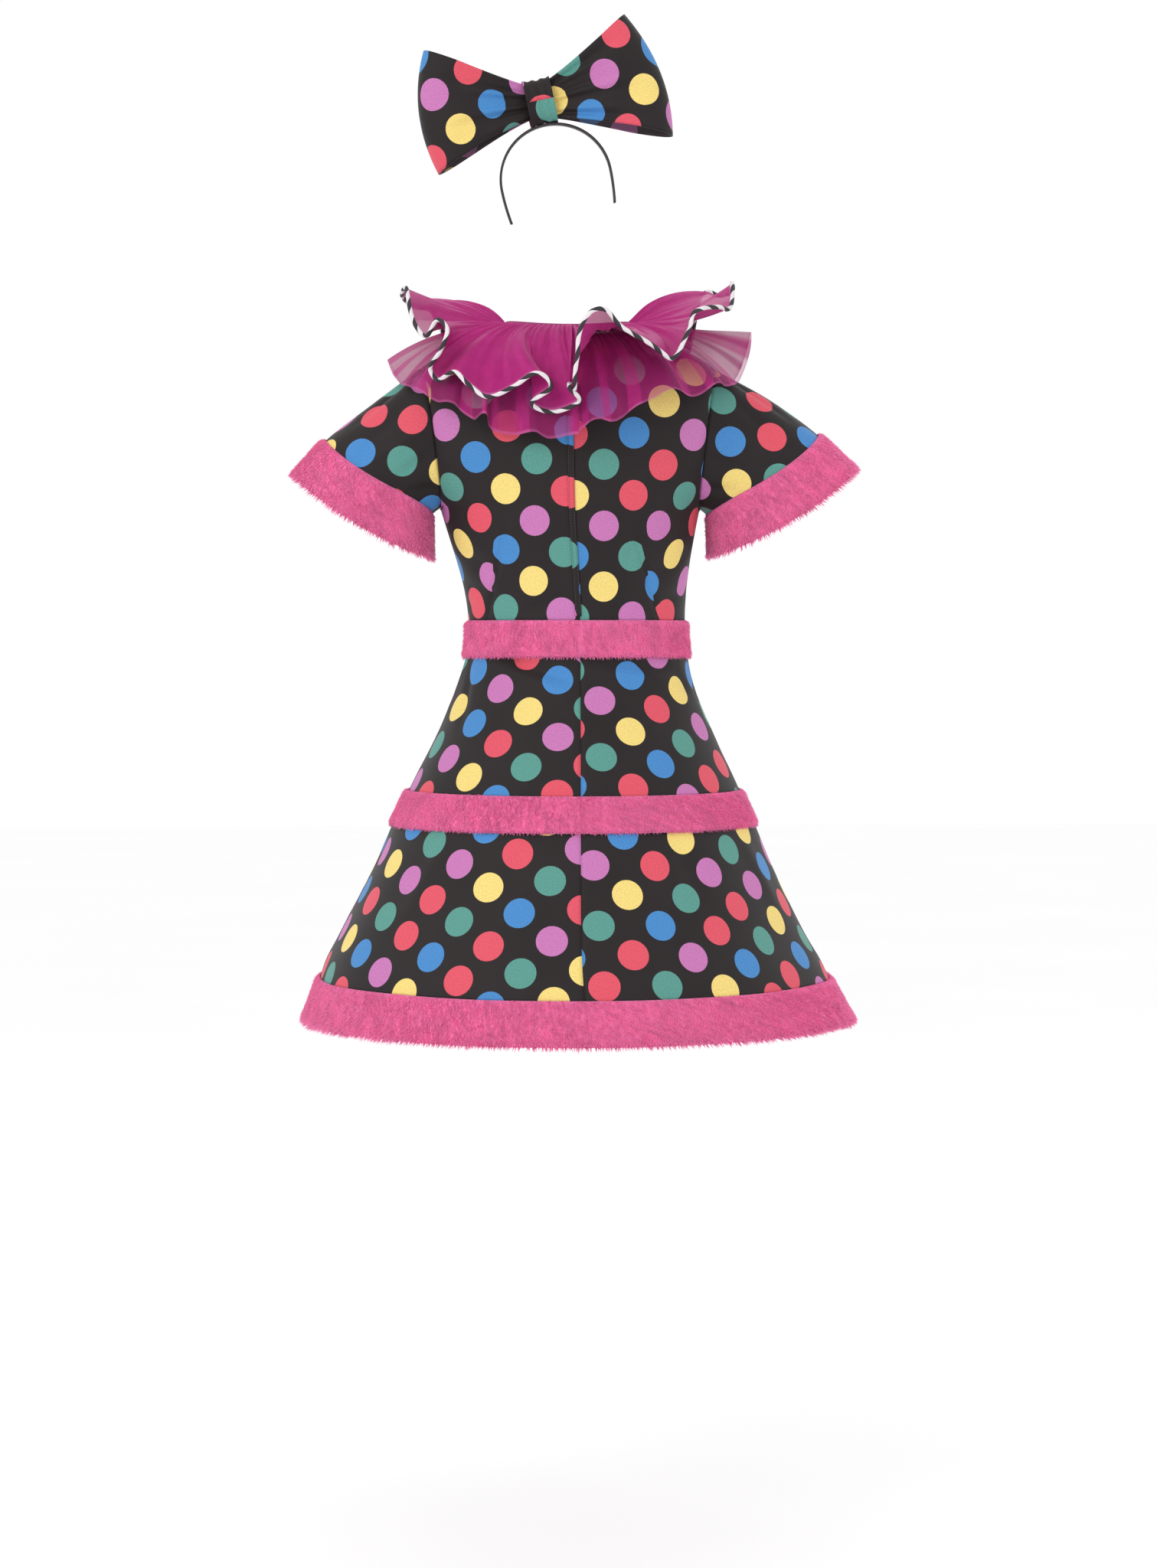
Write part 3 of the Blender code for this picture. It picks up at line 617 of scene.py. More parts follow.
def noise(tree, scale, detail=2.0, at=None):
    """Soft noise, laid on the object's own space unless another place is given."""
    if at is None:
        at = add_node(tree, "ShaderNodeTexCoord").outputs["Object"]
    return add_node(tree, "ShaderNodeTexNoise", Vector=at, Scale=scale, Detail=detail).outputs["Fac"]


def ridges(tree, at, direction, step, distortion, detail):
    """Parallel ridges that are step metres apart."""
    return add_node(tree, "ShaderNodeTexWave", {"bands_direction": direction}, Vector=at,
                    Scale=math.tau / 20 / step, Distortion=distortion, Detail=detail).outputs["Fac"]


def stored(tree, name, output="Fac"):
    """An attribute of the mesh."""
    return add_node(tree, "ShaderNodeAttribute", {"attribute_name": name}).outputs[output]


print("helpers ready")

# %% [markdown]
# ## Printed polyester
#
# The cloth is black polyester, woven smooth and printed with dots. To the eye it is matt with a faint sheen
# across folds. The dots stand in columns, and every second column is half a step lower. Their colours
# follow a chart that repeats every 6 columns and 8 rows: a painter of the print would keep the same
# chart. The shader reads the flat pattern of each panel in its UV map, in metres, so the print follows
# the cloth's grain and is cut off at seams and darts, as in real sewing.

# %% Dotted cloth
COLUMN_STEP = 0.0372    # metres between two columns of dots
ROW_STEP = 0.0744       # metres between two dots of a column
DOT_RADIUS = 18.5       # millimetres
DOT_BLUR, DOT_WOBBLE = 0.25, 0.9
WEAVE_STEP = 0.0008     # real threads are 0.2 mm apart; wider ones still show in a close view
CHART = (
    "RTBRPB",
    "YPRPTR",
    "BYTBYP",
    "TBPRRP",
    "YBPYBT",
    "PYRTPR",
    "TRBPRB",
    "RBTYYT",
)
DYES = {"R": "#DC5364", "Y": "#EDD37C", "T": "#57958A", "B": "#4586C4", "P": "#C275B0"}


def chart_ramp(tree, rows, place):
    """A colour ramp with one hard step for each dot in a few rows of the chart."""
    ramp = add_node(tree, "ShaderNodeValToRGB", Fac=place)
    ramp.color_ramp.interpolation = "CONSTANT"
    letters = "".join(rows)
    stops = ramp.color_ramp.elements
    while len(stops) < len(letters):
        stops.new(1.0)
    for i, letter in enumerate(letters):
        stops[i].position = i / len(letters)
        stops[i].color = linear(DYES[letter])
    return ramp.outputs["Color"]


def printed_dots(tree):
    """Colour of the print and its mask, from the flat pattern in the UV map."""
    do = partial(calc, tree)
    uv = add_node(tree, "ShaderNodeUVMap", {"uv_map": "print"}).outputs["UV"]
    flat = add_node(tree, "ShaderNodeSeparateXYZ", i0=uv).outputs
    across = do("DIVIDE", flat["X"], COLUMN_STEP)
    column = do("FLOOR", do("ADD", across, 0.5))
    odd = do("FLOORED_MODULO", column, 2.0)
    down = do("SUBTRACT", do("DIVIDE", flat["Y"], ROW_STEP), do("MULTIPLY", odd, 0.5))
    row = do("FLOOR", do("ADD", down, 0.5))
    off_x = do("MULTIPLY", do("SUBTRACT", across, column), COLUMN_STEP / MM)
    off_y = do("MULTIPLY", do("SUBTRACT", down, row), ROW_STEP / MM)
    away = do("SQRT", do("ADD", do("MULTIPLY", off_x, off_x), do("MULTIPLY", off_y, off_y)))
    ragged = do("MULTIPLY_ADD", noise(tree, 900.0, at=uv), DOT_WOBBLE, do("SUBTRACT", away, DOT_WOBBLE / 2))
    mask = ranged(tree, ragged, DOT_RADIUS - DOT_BLUR, DOT_RADIUS + DOT_BLUR, 1.0, 0.0)
    width, half = float(len(CHART[0])), len(CHART) // 2
    chart_column = do("FLOORED_MODULO", column, width)
    chart_row = do("FLOORED_MODULO", row, float(len(CHART)))
    place = do("MULTIPLY_ADD", do("FLOORED_MODULO", chart_row, float(half)), width, chart_column)
    place = do("DIVIDE", do("ADD", place, 0.5), half * width)
    lower_half = do("GREATER_THAN", chart_row, half - 0.5)
    dye = mixed(tree, lower_half, chart_ramp(tree, CHART[:half], place), chart_ramp(tree, CHART[half:], place))
    return dye, mask, uv


def dotted_cloth(name, wrong_side):
    look, tree = new_material(name)
    dye, mask, uv = printed_dots(tree)
    fibres = ranged(tree, noise(tree, 520.0, 5.0, uv), 0.3, 0.7, 0.86, 1.1)
    ink = mixed(tree, 1.0, dye, fibres, "MULTIPLY")
    ground = mixed(tree, noise(tree, 14.0, 3.0, uv), "#1B1617", "#272021")
    colour = mixed(tree, mask, ground, ink)
    if wrong_side:
        colour = mixed(tree, 0.62, colour, "#4B4549")
    warp, weft = (ridges(tree, uv, direction, WEAVE_STEP, 1.2, 1.0) for direction in "XY")
    return finished(look, (calc(tree, "MULTIPLY", warp, weft), 0.25, 0.0002), Base_Color=colour,
                    Roughness=0.62, Sheen_Weight=0.07, Sheen_Roughness=0.45, Specular_IOR_Level=0.24)


dotted = dotted_cloth("printed polyester, right side", False)
dotted_back = dotted_cloth("printed polyester, wrong side", True)
print("chart:", len(CHART[0]), "columns by", len(CHART), "rows")

# %% [markdown]
# ## Flat patterns
#
# A tailor's panel is cut flat and bent into place. Unwrapping does the reverse: it lays the bent panel flat
# with as little stretch as it can. The flat shape is then scaled to real metres, turned until the grain
# runs straight down and moved to where its print starts. A dart is cut open first, as it is on paper.

# %% Unwrap a panel
def flatten(piece, corner, below, turn=0.0, across=0.0, down=0.0, cut=(), taken=None):
    """Lays a piece flat in a UV map named print. The line from the point corner to below hangs straight.

    taken is the width of cloth, in millimetres, that a dart has folded away before each face corner.
    """
    mesh = piece.data
    pairs = {frozenset(pair) for pair in cut}
    for edge in mesh.edges:
        edge.use_seam = frozenset(edge.vertices) in pairs
    bpy.context.view_layer.objects.active = piece
    piece.select_set(True)
    mesh.uv_layers.new(name="print")
    bpy.ops.object.mode_set(mode="EDIT")
    bpy.ops.mesh.select_all(action="SELECT")
    bpy.ops.uv.unwrap(method="ANGLE_BASED", margin=0.001)
    bpy.ops.object.mode_set(mode="OBJECT")
    piece.select_set(False)
    layer = piece.data.uv_layers["print"]
    flat = read(layer.uv, "vector", 2)
    starts = read(mesh.polygons, "loop_start", kind=int)
    a, b, c, d = (flat[starts + i] for i in range(4))
    flat_area = 0.5 * np.abs(np.cross(c - a, d - b)).sum()
    flat *= math.sqrt(area_of(piece) / flat_area)
    corners = read(mesh.loops, "vertex_index", kind=int)
    top, bottom = (flat[np.argmax(corners == point)] for point in (corner, below))
    hang, moved = bottom - top, flat - top
    lean = math.atan2(hang[0], -hang[1]) - math.radians(turn)
    cosine, sine = math.cos(lean), math.sin(lean)
    # The print's columns run down, so the second axis is counted downwards.
    x = moved[:, 0] * cosine + moved[:, 1] * sine + across * MM
    y = moved[:, 0] * sine - moved[:, 1] * cosine + down * MM
    size = (np.ptp(x), np.ptp(y))
    if taken is not None:
        x -= taken * MM
    layer.uv.foreach_set("vector", np.column_stack([x, y]).ravel())
    return size


print("unwrapping helper ready")

# %% [markdown]
# ## Folds in the cloth
#
# Worn cloth is never as even as its pattern. Each row of the table below is one soft fold, drawn as
# a stroke from one point of the body to another, with a trough or a ridge across it that fades at both
# ends. The hidden sides get folds like those in view, with no two alike.

# %% Fold strokes
BODY_FOLDS = np.array([
    # from: angle from the centre back, height; to: angle, height; half width; depth (minus sinks)
    (50, -384, 2, -417, 8, -5.0),
    (50, -396, 6, -429, 9, 2.5),
    (44, -372, 24, -412, 7, -1.5),
    (-4, -394, -58, -404, 7, -3.6),
    (-8, -406, -54, -417, 8, 2.2),
    (-40, -378, -52, -394, 5, -2.0),
    (-56, -412, -66, -432, 7, -2.4),
    (-20, -398, -14, -452, 8, 1.8),
    (28, -420, 34, -480, 10, -2.4),
    (70, -400, 60, -470, 9, -3.0),
    (82, -395, 88, -470, 9, 2.4),
    (-76, -398, -84, -460, 9, -2.8),
    (120, -396, 128, -450, 8, -3.0),
    (146, -392, 160, -428, 7, -3.4),
    (170, -398, 196, -410, 7, -3.0),
    (212, -392, 204, -462, 9, 2.4),
    (236, -394, 228, -446, 8, -3.0),
    (262, -398, 268, -470, 9, -2.6),
    # lower skirt
    (14, -600, 24, -690, 14, -2.6),
    (42, -598, 50, -700, 14, 2.4),
    (-30, -598, -34, -680, 13, -2.6),
    (-60, -600, -66, -700, 14, 2.6),
    (84, -600, 92, -690, 14, -2.8),
    (116, -600, 122, -700, 13, 2.4),
    (150, -600, 154, -690, 14, -2.6),
    (190, -600, 188, -700, 13, 2.6),
    (222, -600, 226, -690, 14, -2.6),
    (256, -600, 252, -700, 13, 2.4),
    # bodice, below the underarms
    (34, -300, 74, -262, 9, -2.6),
    (40, -322, 80, -300, 8, -2.2),
    (52, -336, 86, -322, 6, -1.8),
    (-36, -296, -76, -258, 9, -2.4),
    (-40, -324, -82, -306, 8, -2.4),
    (-24, -338, -60, -330, 6, -1.6),
    (8, -318, 30, -336, 7, -1.6),
    (-4, -300, -22, -318, 7, -1.4),
    (140, -300, 112, -268, 9, -2.6),
    (150, -326, 120, -306, 8, -2.2),
    (218, -298, 246, -262, 9, -2.6),
    (212, -326, 240, -310, 8, -2.2),
    (172, -322, 188, -334, 7, -1.8),
    # the darts, and the puckers where they end
    (36, -226, 58, -352, 4, -2.6),
    (41, -246, 34, -276, 7, -1.8),
    (33, -326, 20, -334, 8, -2.0),
    (-27, -226, -49, -352, 4, -2.6),
    (-32, -246, -25, -280, 7, -1.8),
    (-26, -328, -17, -338, 8, -1.8),
    # upper back and chest
    (84, -196, 60, -168, 9, -2.8),
    (86, -172, 62, -128, 9, -2.0),
    (-84, -196, -62, -166, 9, -2.6),
    (-86, -176, -58, -132, 9, -2.2),
    (30, -96, 48, -120, 10, -1.6),
    (-28, -92, -50, -112, 10, -1.8),
    (96, -194, 118, -166, 9, -2.8),
    (264, -194, 240, -162, 9, -2.6),
    (150, -110, 132, -140, 10, -1.8),
    (208, -112, 228, -146, 10, -1.8),
], float)
SLEEVE_FOLDS = np.array([
    # from: angle from the top of the sleeve, share of its length; to: angle, share; half width; depth
    (24, 0.02, 30, 0.5, 8, -3.0),
    (52, 0.04, 62, 0.6, 9, -2.6),
    (84, 0.1, 76, 0.62, 8, 2.4),
    (108, 0.02, 100, 0.44, 8, -3.2),
    (140, 0.0, 120, 0.5, 8, -3.4),
    (160, 0.02, 150, 0.4, 7, 2.4),
    (200, 0.0, 214, 0.4, 7, -3.0),
    (232, 0.02, 240, 0.5, 8, -3.0),
    (262, 0.06, 254, 0.56, 8, 2.4),
    (296, 0.02, 290, 0.5, 9, -2.8),
    (334, 0.04, 326, 0.46, 8, -2.4),
], float)
SLEEVE_LENGTH, SLEEVE_RADIUS = 150, 95
SEAM_ROLL, SEAM_REACH = 1.1, 4.0       # the cloth dips this deep, and this near to where it is sewn
SEAM_FADE = 9.0        # folds fade out over this distance from a seam
STROKE_TIP, STROKE_POWER = 0.08, 0.8   # how a stroke starts and how fast it comes in


def pressed(table, across, down, place):
    """Depth of all strokes at points given in millimetres across and down."""
    total = np.zeros_like(across)
    for x0, y0, x1, y1, width, depth in table:
        start, end = np.array(place(x0, y0)), np.array(place(x1, y1))
        run = end - start
        length = np.hypot(*run)
        away = np.stack([across - start[0], down - start[1]], -1)
        share = np.clip(away @ run / length ** 2, 0, 1)
        nearest = start + share[..., None] * run
        gap = np.hypot(across - nearest[..., 0], down - nearest[..., 1])
        ends = np.sin(np.pi * (STROKE_TIP + (1 - 2 * STROKE_TIP) * share)) ** STROKE_POWER
        total = total + depth * ends * np.exp(-(gap / width) ** 2)
    return total


def around_body(angle, height):
    """Place of a point of the body in millimetres: the way around it and its height."""
    level = np.clip(height, HEM, UNDERARM)
    radius = (smooth(BODY, 1, level) + smooth(BODY, 2, level)) / 2
    return np.radians(angle) * radius, height


def body_folds(angle, points):
    """Depth of the body's folds. Angles run from -180 to 180, so each is tried on both sides."""
    total = 0
    for turn in (0, 360):
        across, down = around_body(np.degrees(angle) + turn, points[..., 2])
        total = total + pressed(BODY_FOLDS, across, down, around_body)
    return total


def around_sleeve(angle, share):
    return np.radians(angle) * SLEEVE_RADIUS, share * SLEEVE_LENGTH


def sewn(points, folds, sides):
    """Folds that fade towards the sewn edges, with a soft dip beside each seam.

    sides names the edges that are sewn: left, right, top or bottom.
    """
    across, down = run_along(points, 1), run_along(points, 0)
    ways = {"left": across, "right": across[:, -1:] - across, "top": down, "bottom": down[-1:] - down}
    gap = np.min([ways[side] for side in sides], axis=0)
    return folds * (1 - np.exp(-(gap / SEAM_FADE) ** 2)) - SEAM_ROLL * np.exp(-gap / SEAM_REACH)


print("fold strokes:", len(BODY_FOLDS), "on the body and", len(SLEEVE_FOLDS), "on each sleeve")

# %% [markdown]
# ## Panels of the dress
#
# Each panel is drawn on the block as a lattice with points 4.5 mm apart, laid flat for its print, pressed
# with its folds and then given the thickness of cloth by Solidify, with the paler wrong side inside. The
# panel keeps its own grain: a table says how much each one is turned and where its print starts, because
# panels are cut one by one from the printed length and their dots never meet at a seam.

# %% Bodice and skirt panels
GRID = 4.5             # distance between two points of a panel
CLOTH = 1.4            # thickness of the printed cloth
SEWN_OVER = 0.2        # two panels run this far past their seam, so that no light shows through it
PRINT_PLACES = {
    # panel: turn in degrees, millimetres across and down
    "bodice_back_left": (6.6, 56.2, -131.6),
    "bodice_back_right": (-1.0, 14.0, -137.1),
    "bodice_front": (0.6, 13.0, -121.0),
    "skirt_upper_back_left": (-0.2, 177.2, 268.3),
    "skirt_upper_back_right": (-0.7, -23.7, 316.5),
    "skirt_upper_front": (-1.4, 52.0, 164.0),
    "skirt_lower_back_left": (-0.7, 373.2, 350.9),
    "skirt_lower_back_right": (-3.3, -12.1, 330.6),
    "skirt_lower_front": (1.2, -8.0, 31.0),
    "sleeve_left": (6.0, 98.8, 372.8),
    "sleeve_right": (3.4, 290.3, 418.8),
    "bow_loop_left": (13.8, 32.8, 252.0),
    "bow_loop_right": (177.9, 106.6, 238.2),
    "bow_knot": (4.0, 24.0, 61.0),
}


def thick_cloth(piece):
    """Gives a single layer its thickness, inwards, with the wrong side of the cloth inside."""
    solid = piece.modifiers.new("thickness", "SOLIDIFY")
    solid.thickness = CLOTH * MM
    solid.offset = -1.0
    solid.use_even_offset = True
    solid.material_offset = 1
    give(piece, dotted, dotted_back)
    made_plain(piece)


def cloth_panel(name, surface, columns, rows, grain, press, cut=(), trims=(1, 1, 1), taken=None):
    """One panel of printed cloth. Its grain hangs straight along one column of its lattice.

    trims says how far the sides reach over their seams, and how far the top and the bottom stay back.
    """
    points, along, down, normal = lattice(surface, columns, rows)
    points[:, 0] -= along[:, 0] * SEWN_OVER * trims[0]
    points[:, -1] += along[:, -1] * SEWN_OVER * trims[0]
    points[0] += down[0] * SEAM / 2 * trims[1]
    points[-1] -= down[-1] * SEAM / 2 * trims[2]
    piece = grid_piece("cloth_" + name, points)
    count = len(columns)
    ends = [row * count + grain % count for row in (0, len(rows) - 1)]
    edges = [(row * count + column, (row + 1) * count + column) for row, column in cut]
    size = flatten(piece, *ends, *PRINT_PLACES[name], edges, taken)
    folded = points + normal * press(points)[..., None]
    piece.data.vertices.foreach_set("co", (folded * MM).ravel())
    thick_cloth(piece)
    return piece


def columns_between(start, end, radius, extra=()):
    """Angles between two angles in degrees, about one grid step apart, with extra ones for a dart."""
    count = round(math.radians(abs(end - start)) * radius / GRID)
    return np.sort(np.radians(np.concatenate([np.linspace(start, end, count + 1), extra])))


def dart_intake(rows, columns, middle, side, heights):
    """Cloth folded away by the dart before each face corner, row by row, on the dart's outer side."""
    depth = DART_INTAKE * np.clip((DART_TOP - heights) / (DART_TOP - WAIST_TOP), 0, None)
    row, column = np.divmod(np.arange((len(rows) - 1) * (len(columns) - 1)), len(columns) - 1)
    outer = column >= middle if side > 0 else column < middle
    corners = np.stack([row, row, row + 1, row + 1], -1)
    return (side * depth[corners] * outer[:, None]).ravel()


DART_INTAKE = 30       # cloth that the dart folds away at the waist
DART_COLUMNS = [90 * (DART_AT + turn) for turn in (-0.04, -0.02, 0, 0.02, 0.04)]
DART_LEANS = {1: (0.43, 0.63), -1: (0.33, 0.53)}       # shares of a quarter at a dart's top and at the waist
LEAN_ROWS = (0.4, 1.2, 2)              # rows where the lean starts, where the dart starts and the waist
BODICE_RADIUS, BODICE_COLUMN = 140, 0.8        # the rows are spaced along the column at this angle
WAIST_ROUNDNESS = 0.8
CLOSE_COLUMNS = 0.008  # columns nearer than this angle to the one before are left out


def angle_of(points):
    """Angle of points from the centre back, in radians, on an ellipse as deep as the waist."""
    return np.arctan2(points[..., 0] * WAIST_ROUNDNESS, points[..., 1])


def leaning_back(side):
    """The back with its columns leaning, so that one of them runs down the dart of that side."""
    surface = bodice(True)
    top, low = DART_LEANS[side]

    def leaning(u, v):
        share = np.abs(u) / (np.pi / 2)
        lean = np.interp(v, LEAN_ROWS, [0, top - DART_AT, low - DART_AT])
        share = share + lean * np.interp(share, [0, DART_AT, 1], [0, 1, 0])
        return surface(side * share * np.pi / 2, v)
    return leaning


def body_press(sides, angles=None):
    """Gives the function that folds a panel of the body, whose columns may stand at given angles."""
    def press(points):
        at = angle_of(points) if angles is None else angles[None, :] + 0 * points[..., 0]
        return sewn(points, body_folds(at, points), sides)
    return press


BODICE_SEAMS, SKIRT_SEAMS = ("left", "right", "top"), ("left", "right")
backs = []
for side, name in ((1, "left"), (-1, "right")):
    columns = columns_between(0, 90, BODICE_RADIUS, DART_COLUMNS)
    columns = columns[np.concatenate([[True], np.diff(columns) > CLOSE_COLUMNS])] * side
    columns = columns if side > 0 else columns[::-1]
    surface = leaning_back(side)
    rows = even_rows(surface, side * BODICE_COLUMN, 0, 2, GRID)
    middle = int(np.argmin(np.abs(columns - side * math.radians(90 * DART_AT))))
    heights = surface(np.full_like(rows, columns[middle]), rows)[:, 2]
    cut = [(row, middle) for row in range(len(rows) - 1) if heights[row] < DART_TOP]
    backs.append(cloth_panel(
        "bodice_back_" + name, surface, columns, rows, 0 if side > 0 else -1, body_press(BODICE_SEAMS),
        cut, taken=dart_intake(rows, columns, middle, side, heights)))
surface = bodice(False)
columns = columns_between(-90, 90, BODICE_RADIUS)
# The first rows crowd at the middle of the neck, so two of them are left out.
rows = np.delete(even_rows(surface, BODICE_COLUMN, 0, 2, GRID), (1, 2))
front = cloth_panel("bodice_front", surface, columns, rows, len(columns) // 2,
                    body_press(BODICE_SEAMS, np.pi + columns))

skirts = []
TIERS = (("upper", WAIST_BOTTOM, MIDDLE_BAND_TOP), ("lower", MIDDLE_BAND_BOTTOM, HEM_BAND_TOP))
PANELS = (("back_left", 0, 90, 0), ("front", 90, 270, 0.5), ("back_right", 270, 360, -1))
for tier, top, bottom in TIERS:
    for panel, start, end, grain in PANELS:
        radius = smooth(BODY, 1, (top + bottom) / 2)
        columns = columns_between(start, end, radius)
        rows = even_rows(skirt, math.radians(45), -top, -bottom, GRID)
        centre = round(grain * (len(columns) - 1)) if grain >= 0 else -1
        turned = (columns + np.pi) % (2 * np.pi) - np.pi
        skirts.append(cloth_panel("skirt_" + tier + "_" + panel, skirt, columns, rows, centre,
                                  body_press(SKIRT_SEAMS, turned)))

# %% Sleeves
# A sleeve is cut as one sheet and closed by a seam at the underarm, so its lattice starts and ends there.
SLEEVE_QUIET = 0.12    # its folds come in over this share of its length
SLEEVE_TRIM = -14      # its top goes on past the armhole's edge, by this many halves of a seam
sleeves = []
for side, name in ((1, "left"), (-1, "right")):
    surface = sleeve(side)
    columns = np.linspace(-np.pi, np.pi, 121)
    rows = even_rows(surface, 0, 0, CUFF_START, GRID)

    def sleeve_press(points, columns=columns, rows=rows, side=side):
        angle = np.degrees(-side * columns[None, :]) % 360 + 0 * points[..., 0]
        across, down = around_sleeve(angle, rows[:, None] + 0 * angle)
        return pressed(SLEEVE_FOLDS, across, down, around_sleeve) * np.clip(rows[:, None] / SLEEVE_QUIET, 0, 1)

    sleeves.append(cloth_panel("sleeve_" + name, surface, columns, rows, len(columns) // 2,
                               sleeve_press, trims=(1, SLEEVE_TRIM, 1)))
print("sleeves:", [len(piece.data.polygons) for piece in sleeves], "faces")

# %% [markdown]
# ## Lap over the zip
#
# The zip runs down the centre back, hidden under a narrow folded lap of the same cloth. Only two rows of
# machine stitches show on it. Stitches repeat along a path, so Geometry Nodes lays them: the line is cut
# into equal steps and a small thread bead is placed on each one, turned along the line.

# %% Lap and its stitches
LAP_HALF_WIDTH, LAP_THICKNESS = 3.8, 1.0
LAP_SHIFT = 2.4        # the lap belongs to the left panel, so it lies a little to that side
LAP_TOP, LAP_END = 0.06, 1.955
LAP_FLAT, LAP_FULL = 0.4, 0.55         # under the ruffles the lap is pressed flat
LAP_PRESSED = 0.3      # to this share of its thickness
LAP_STEP = 4.0
LAP_OUTLINE = ((-1, 0), (1, 0), (1, 0.7), (0.8, 1.0), (0, 1.15), (-0.8, 1.0), (-1, 0.7))
STITCH_STEP, STITCH_LENGTH, STITCH_RADIUS = 3.2, 2.4, 0.32
STITCH_LINES = (-2.6, 2.6)
STITCH_SEAT = 1.05     # the threads lie this many thicknesses over the cloth

back_surface = bodice(True)
lap_rows = even_rows(back_surface, 0.0, LAP_TOP, LAP_END, LAP_STEP)
spine, along, down, normal = (part[:, 0] for part in lattice(back_surface, np.array([0.0]), lap_rows))
spine = spine + along * LAP_SHIFT
run_down = run_along(spine)
lap_height = LAP_THICKNESS * np.interp(lap_rows, [LAP_FLAT, LAP_FULL], [LAP_PRESSED, 1])
lap = tube_piece("cloth_zip_lap", [
    [p + a * side * LAP_HALF_WIDTH + n * (SEAM + height * rise) for side, height in LAP_OUTLINE]
    for p, a, n, rise in zip(spine, along, normal, lap_height)])
give(lap, dotted)
turn, across, start = PRINT_PLACES["bodice_back_left"]
cosine, sine = math.cos(math.radians(turn)), math.sin(math.radians(turn))
top_gap = np.linalg.norm(spine[0] - back_surface(np.array([0.0]), np.array([0.0]))[0])
layer = lap.data.uv_layers.new(name="print")
for loop in lap.data.loops:
    row, corner = divmod(loop.vertex_index, len(LAP_OUTLINE))
    side = LAP_SHIFT + LAP_OUTLINE[corner][0] * LAP_HALF_WIDTH
    hang = run_down[row] + top_gap
    layer.uv[loop.index].vector = ((across - side * cosine + hang * sine) * MM,
                                   (start + hang * cosine + side * sine) * MM)


def new_tree(name, **inputs):
    """A Geometry Nodes tree and its input sockets, whose names are given for each kind."""
    tree = bpy.data.node_groups.new(name, "GeometryNodeTree")
    for kind, titles in {"Geometry": ["Geometry"], **inputs}.items():
        for title in titles:
            tree.interface.new_socket(title, in_out="INPUT", socket_type="NodeSocket" + kind)
    tree.interface.new_socket("Geometry", in_out="OUTPUT", socket_type="NodeSocketGeometry")
    return tree, add_node(tree, "NodeGroupInput").outputs


def finish_tree(tree, instances, look):
    """Turns instances into real faces with one material and closes the tree."""
    real = add_node(tree, "GeometryNodeRealizeInstances", Geometry=instances)
    dressed = add_node(tree, "GeometryNodeSetMaterial", Geometry=real.outputs[0], Material=look)
    add_node(tree, "NodeGroupOutput", i0=dressed.outputs[0])
    return tree


def grow(piece, tree, **values):
    """Runs a tree on a piece with its inputs set, and leaves the plain result in the piece."""
    modifier = piece.modifiers.new(tree.name, "NODES")
    modifier.node_group = tree
    for item in tree.interface.items_tree:
        if item.in_out == "INPUT" and item.name in values:
            modifier[item.identifier] = values[item.name]
    return made_plain(piece)


def stitch_tree():
    tree, given = new_tree("stitches along a line", Float=("Step", "Length", "Radius"), Material=("Thread",))
    path = add_node(tree, "GeometryNodeMeshToCurve", Mesh=given["Geometry"])
    steps = add_node(tree, "GeometryNodeResampleCurve", {"mode": "LENGTH"}, Curve=path.outputs[0],
                     Length=given["Step"])
    bead = add_node(tree, "GeometryNodeMeshUVSphere", Segments=6, Rings=4, Radius=1.0)
    size = add_node(tree, "ShaderNodeCombineXYZ", X=calc(tree, "MULTIPLY", given["Length"], 0.5),
                    Y=given["Radius"], Z=given["Radius"])
    tangent = add_node(tree, "GeometryNodeInputTangent")
    turned = add_node(tree, "FunctionNodeAlignRotationToVector", {"axis": "X"}, Vector=tangent.outputs[0])
    beads = add_node(tree, "GeometryNodeInstanceOnPoints", Points=steps.outputs[0], Instance=bead.outputs[0],
                     Rotation=turned.outputs[0], Scale=size.outputs[0])
    return finish_tree(tree, beads.outputs[0], given["Thread"])


def thread_look():
    """Polyester sewing thread: black, smooth and a little shiny, with a twist too fine to draw."""
    look, tree = new_material("polyester thread")
    colour = mixed(tree, noise(tree, 1400.0), "#1C181A", "#3C3539")
    return finished(look, Base_Color=colour, Roughness=0.42, Sheen_Weight=0.2)


ends = slice(int(np.argmax(lap_rows > LAP_FULL)), -1)
lift = SEAM + LAP_THICKNESS * STITCH_SEAT
lines = np.array([(spine + along * side + normal * lift)[ends] for side in STITCH_LINES])
count = lines.shape[1]
edges = [(i, i + 1) for i in range(lines[..., 0].size - 1) if (i + 1) % count]
lap_stitches = grow(made_of("stitches_zip_lap", lines, [], edges), stitch_tree(), Step=STITCH_STEP * MM,
                    Length=STITCH_LENGTH * MM, Radius=STITCH_RADIUS * MM, Thread=thread_look())
print("lap:", round(run_down[-1]), "mm long, stitches:", len(lap_stitches.data.polygons), "faces")

# %% [markdown]
# ## Bands of plush
#
# The pink bands are fur fabric: a knitted back with a short, dense pile of soft acrylic hair that
# stands up, leans in clumps and fringes past a cut edge. Here a low solid band gives the mass of the pile,
# and Geometry Nodes grow thousands of small tufts on it. Every tuft is a cone of three faces, pushed
# over by a downward comb, by a slow noise that makes the clumps, and by a little chance.

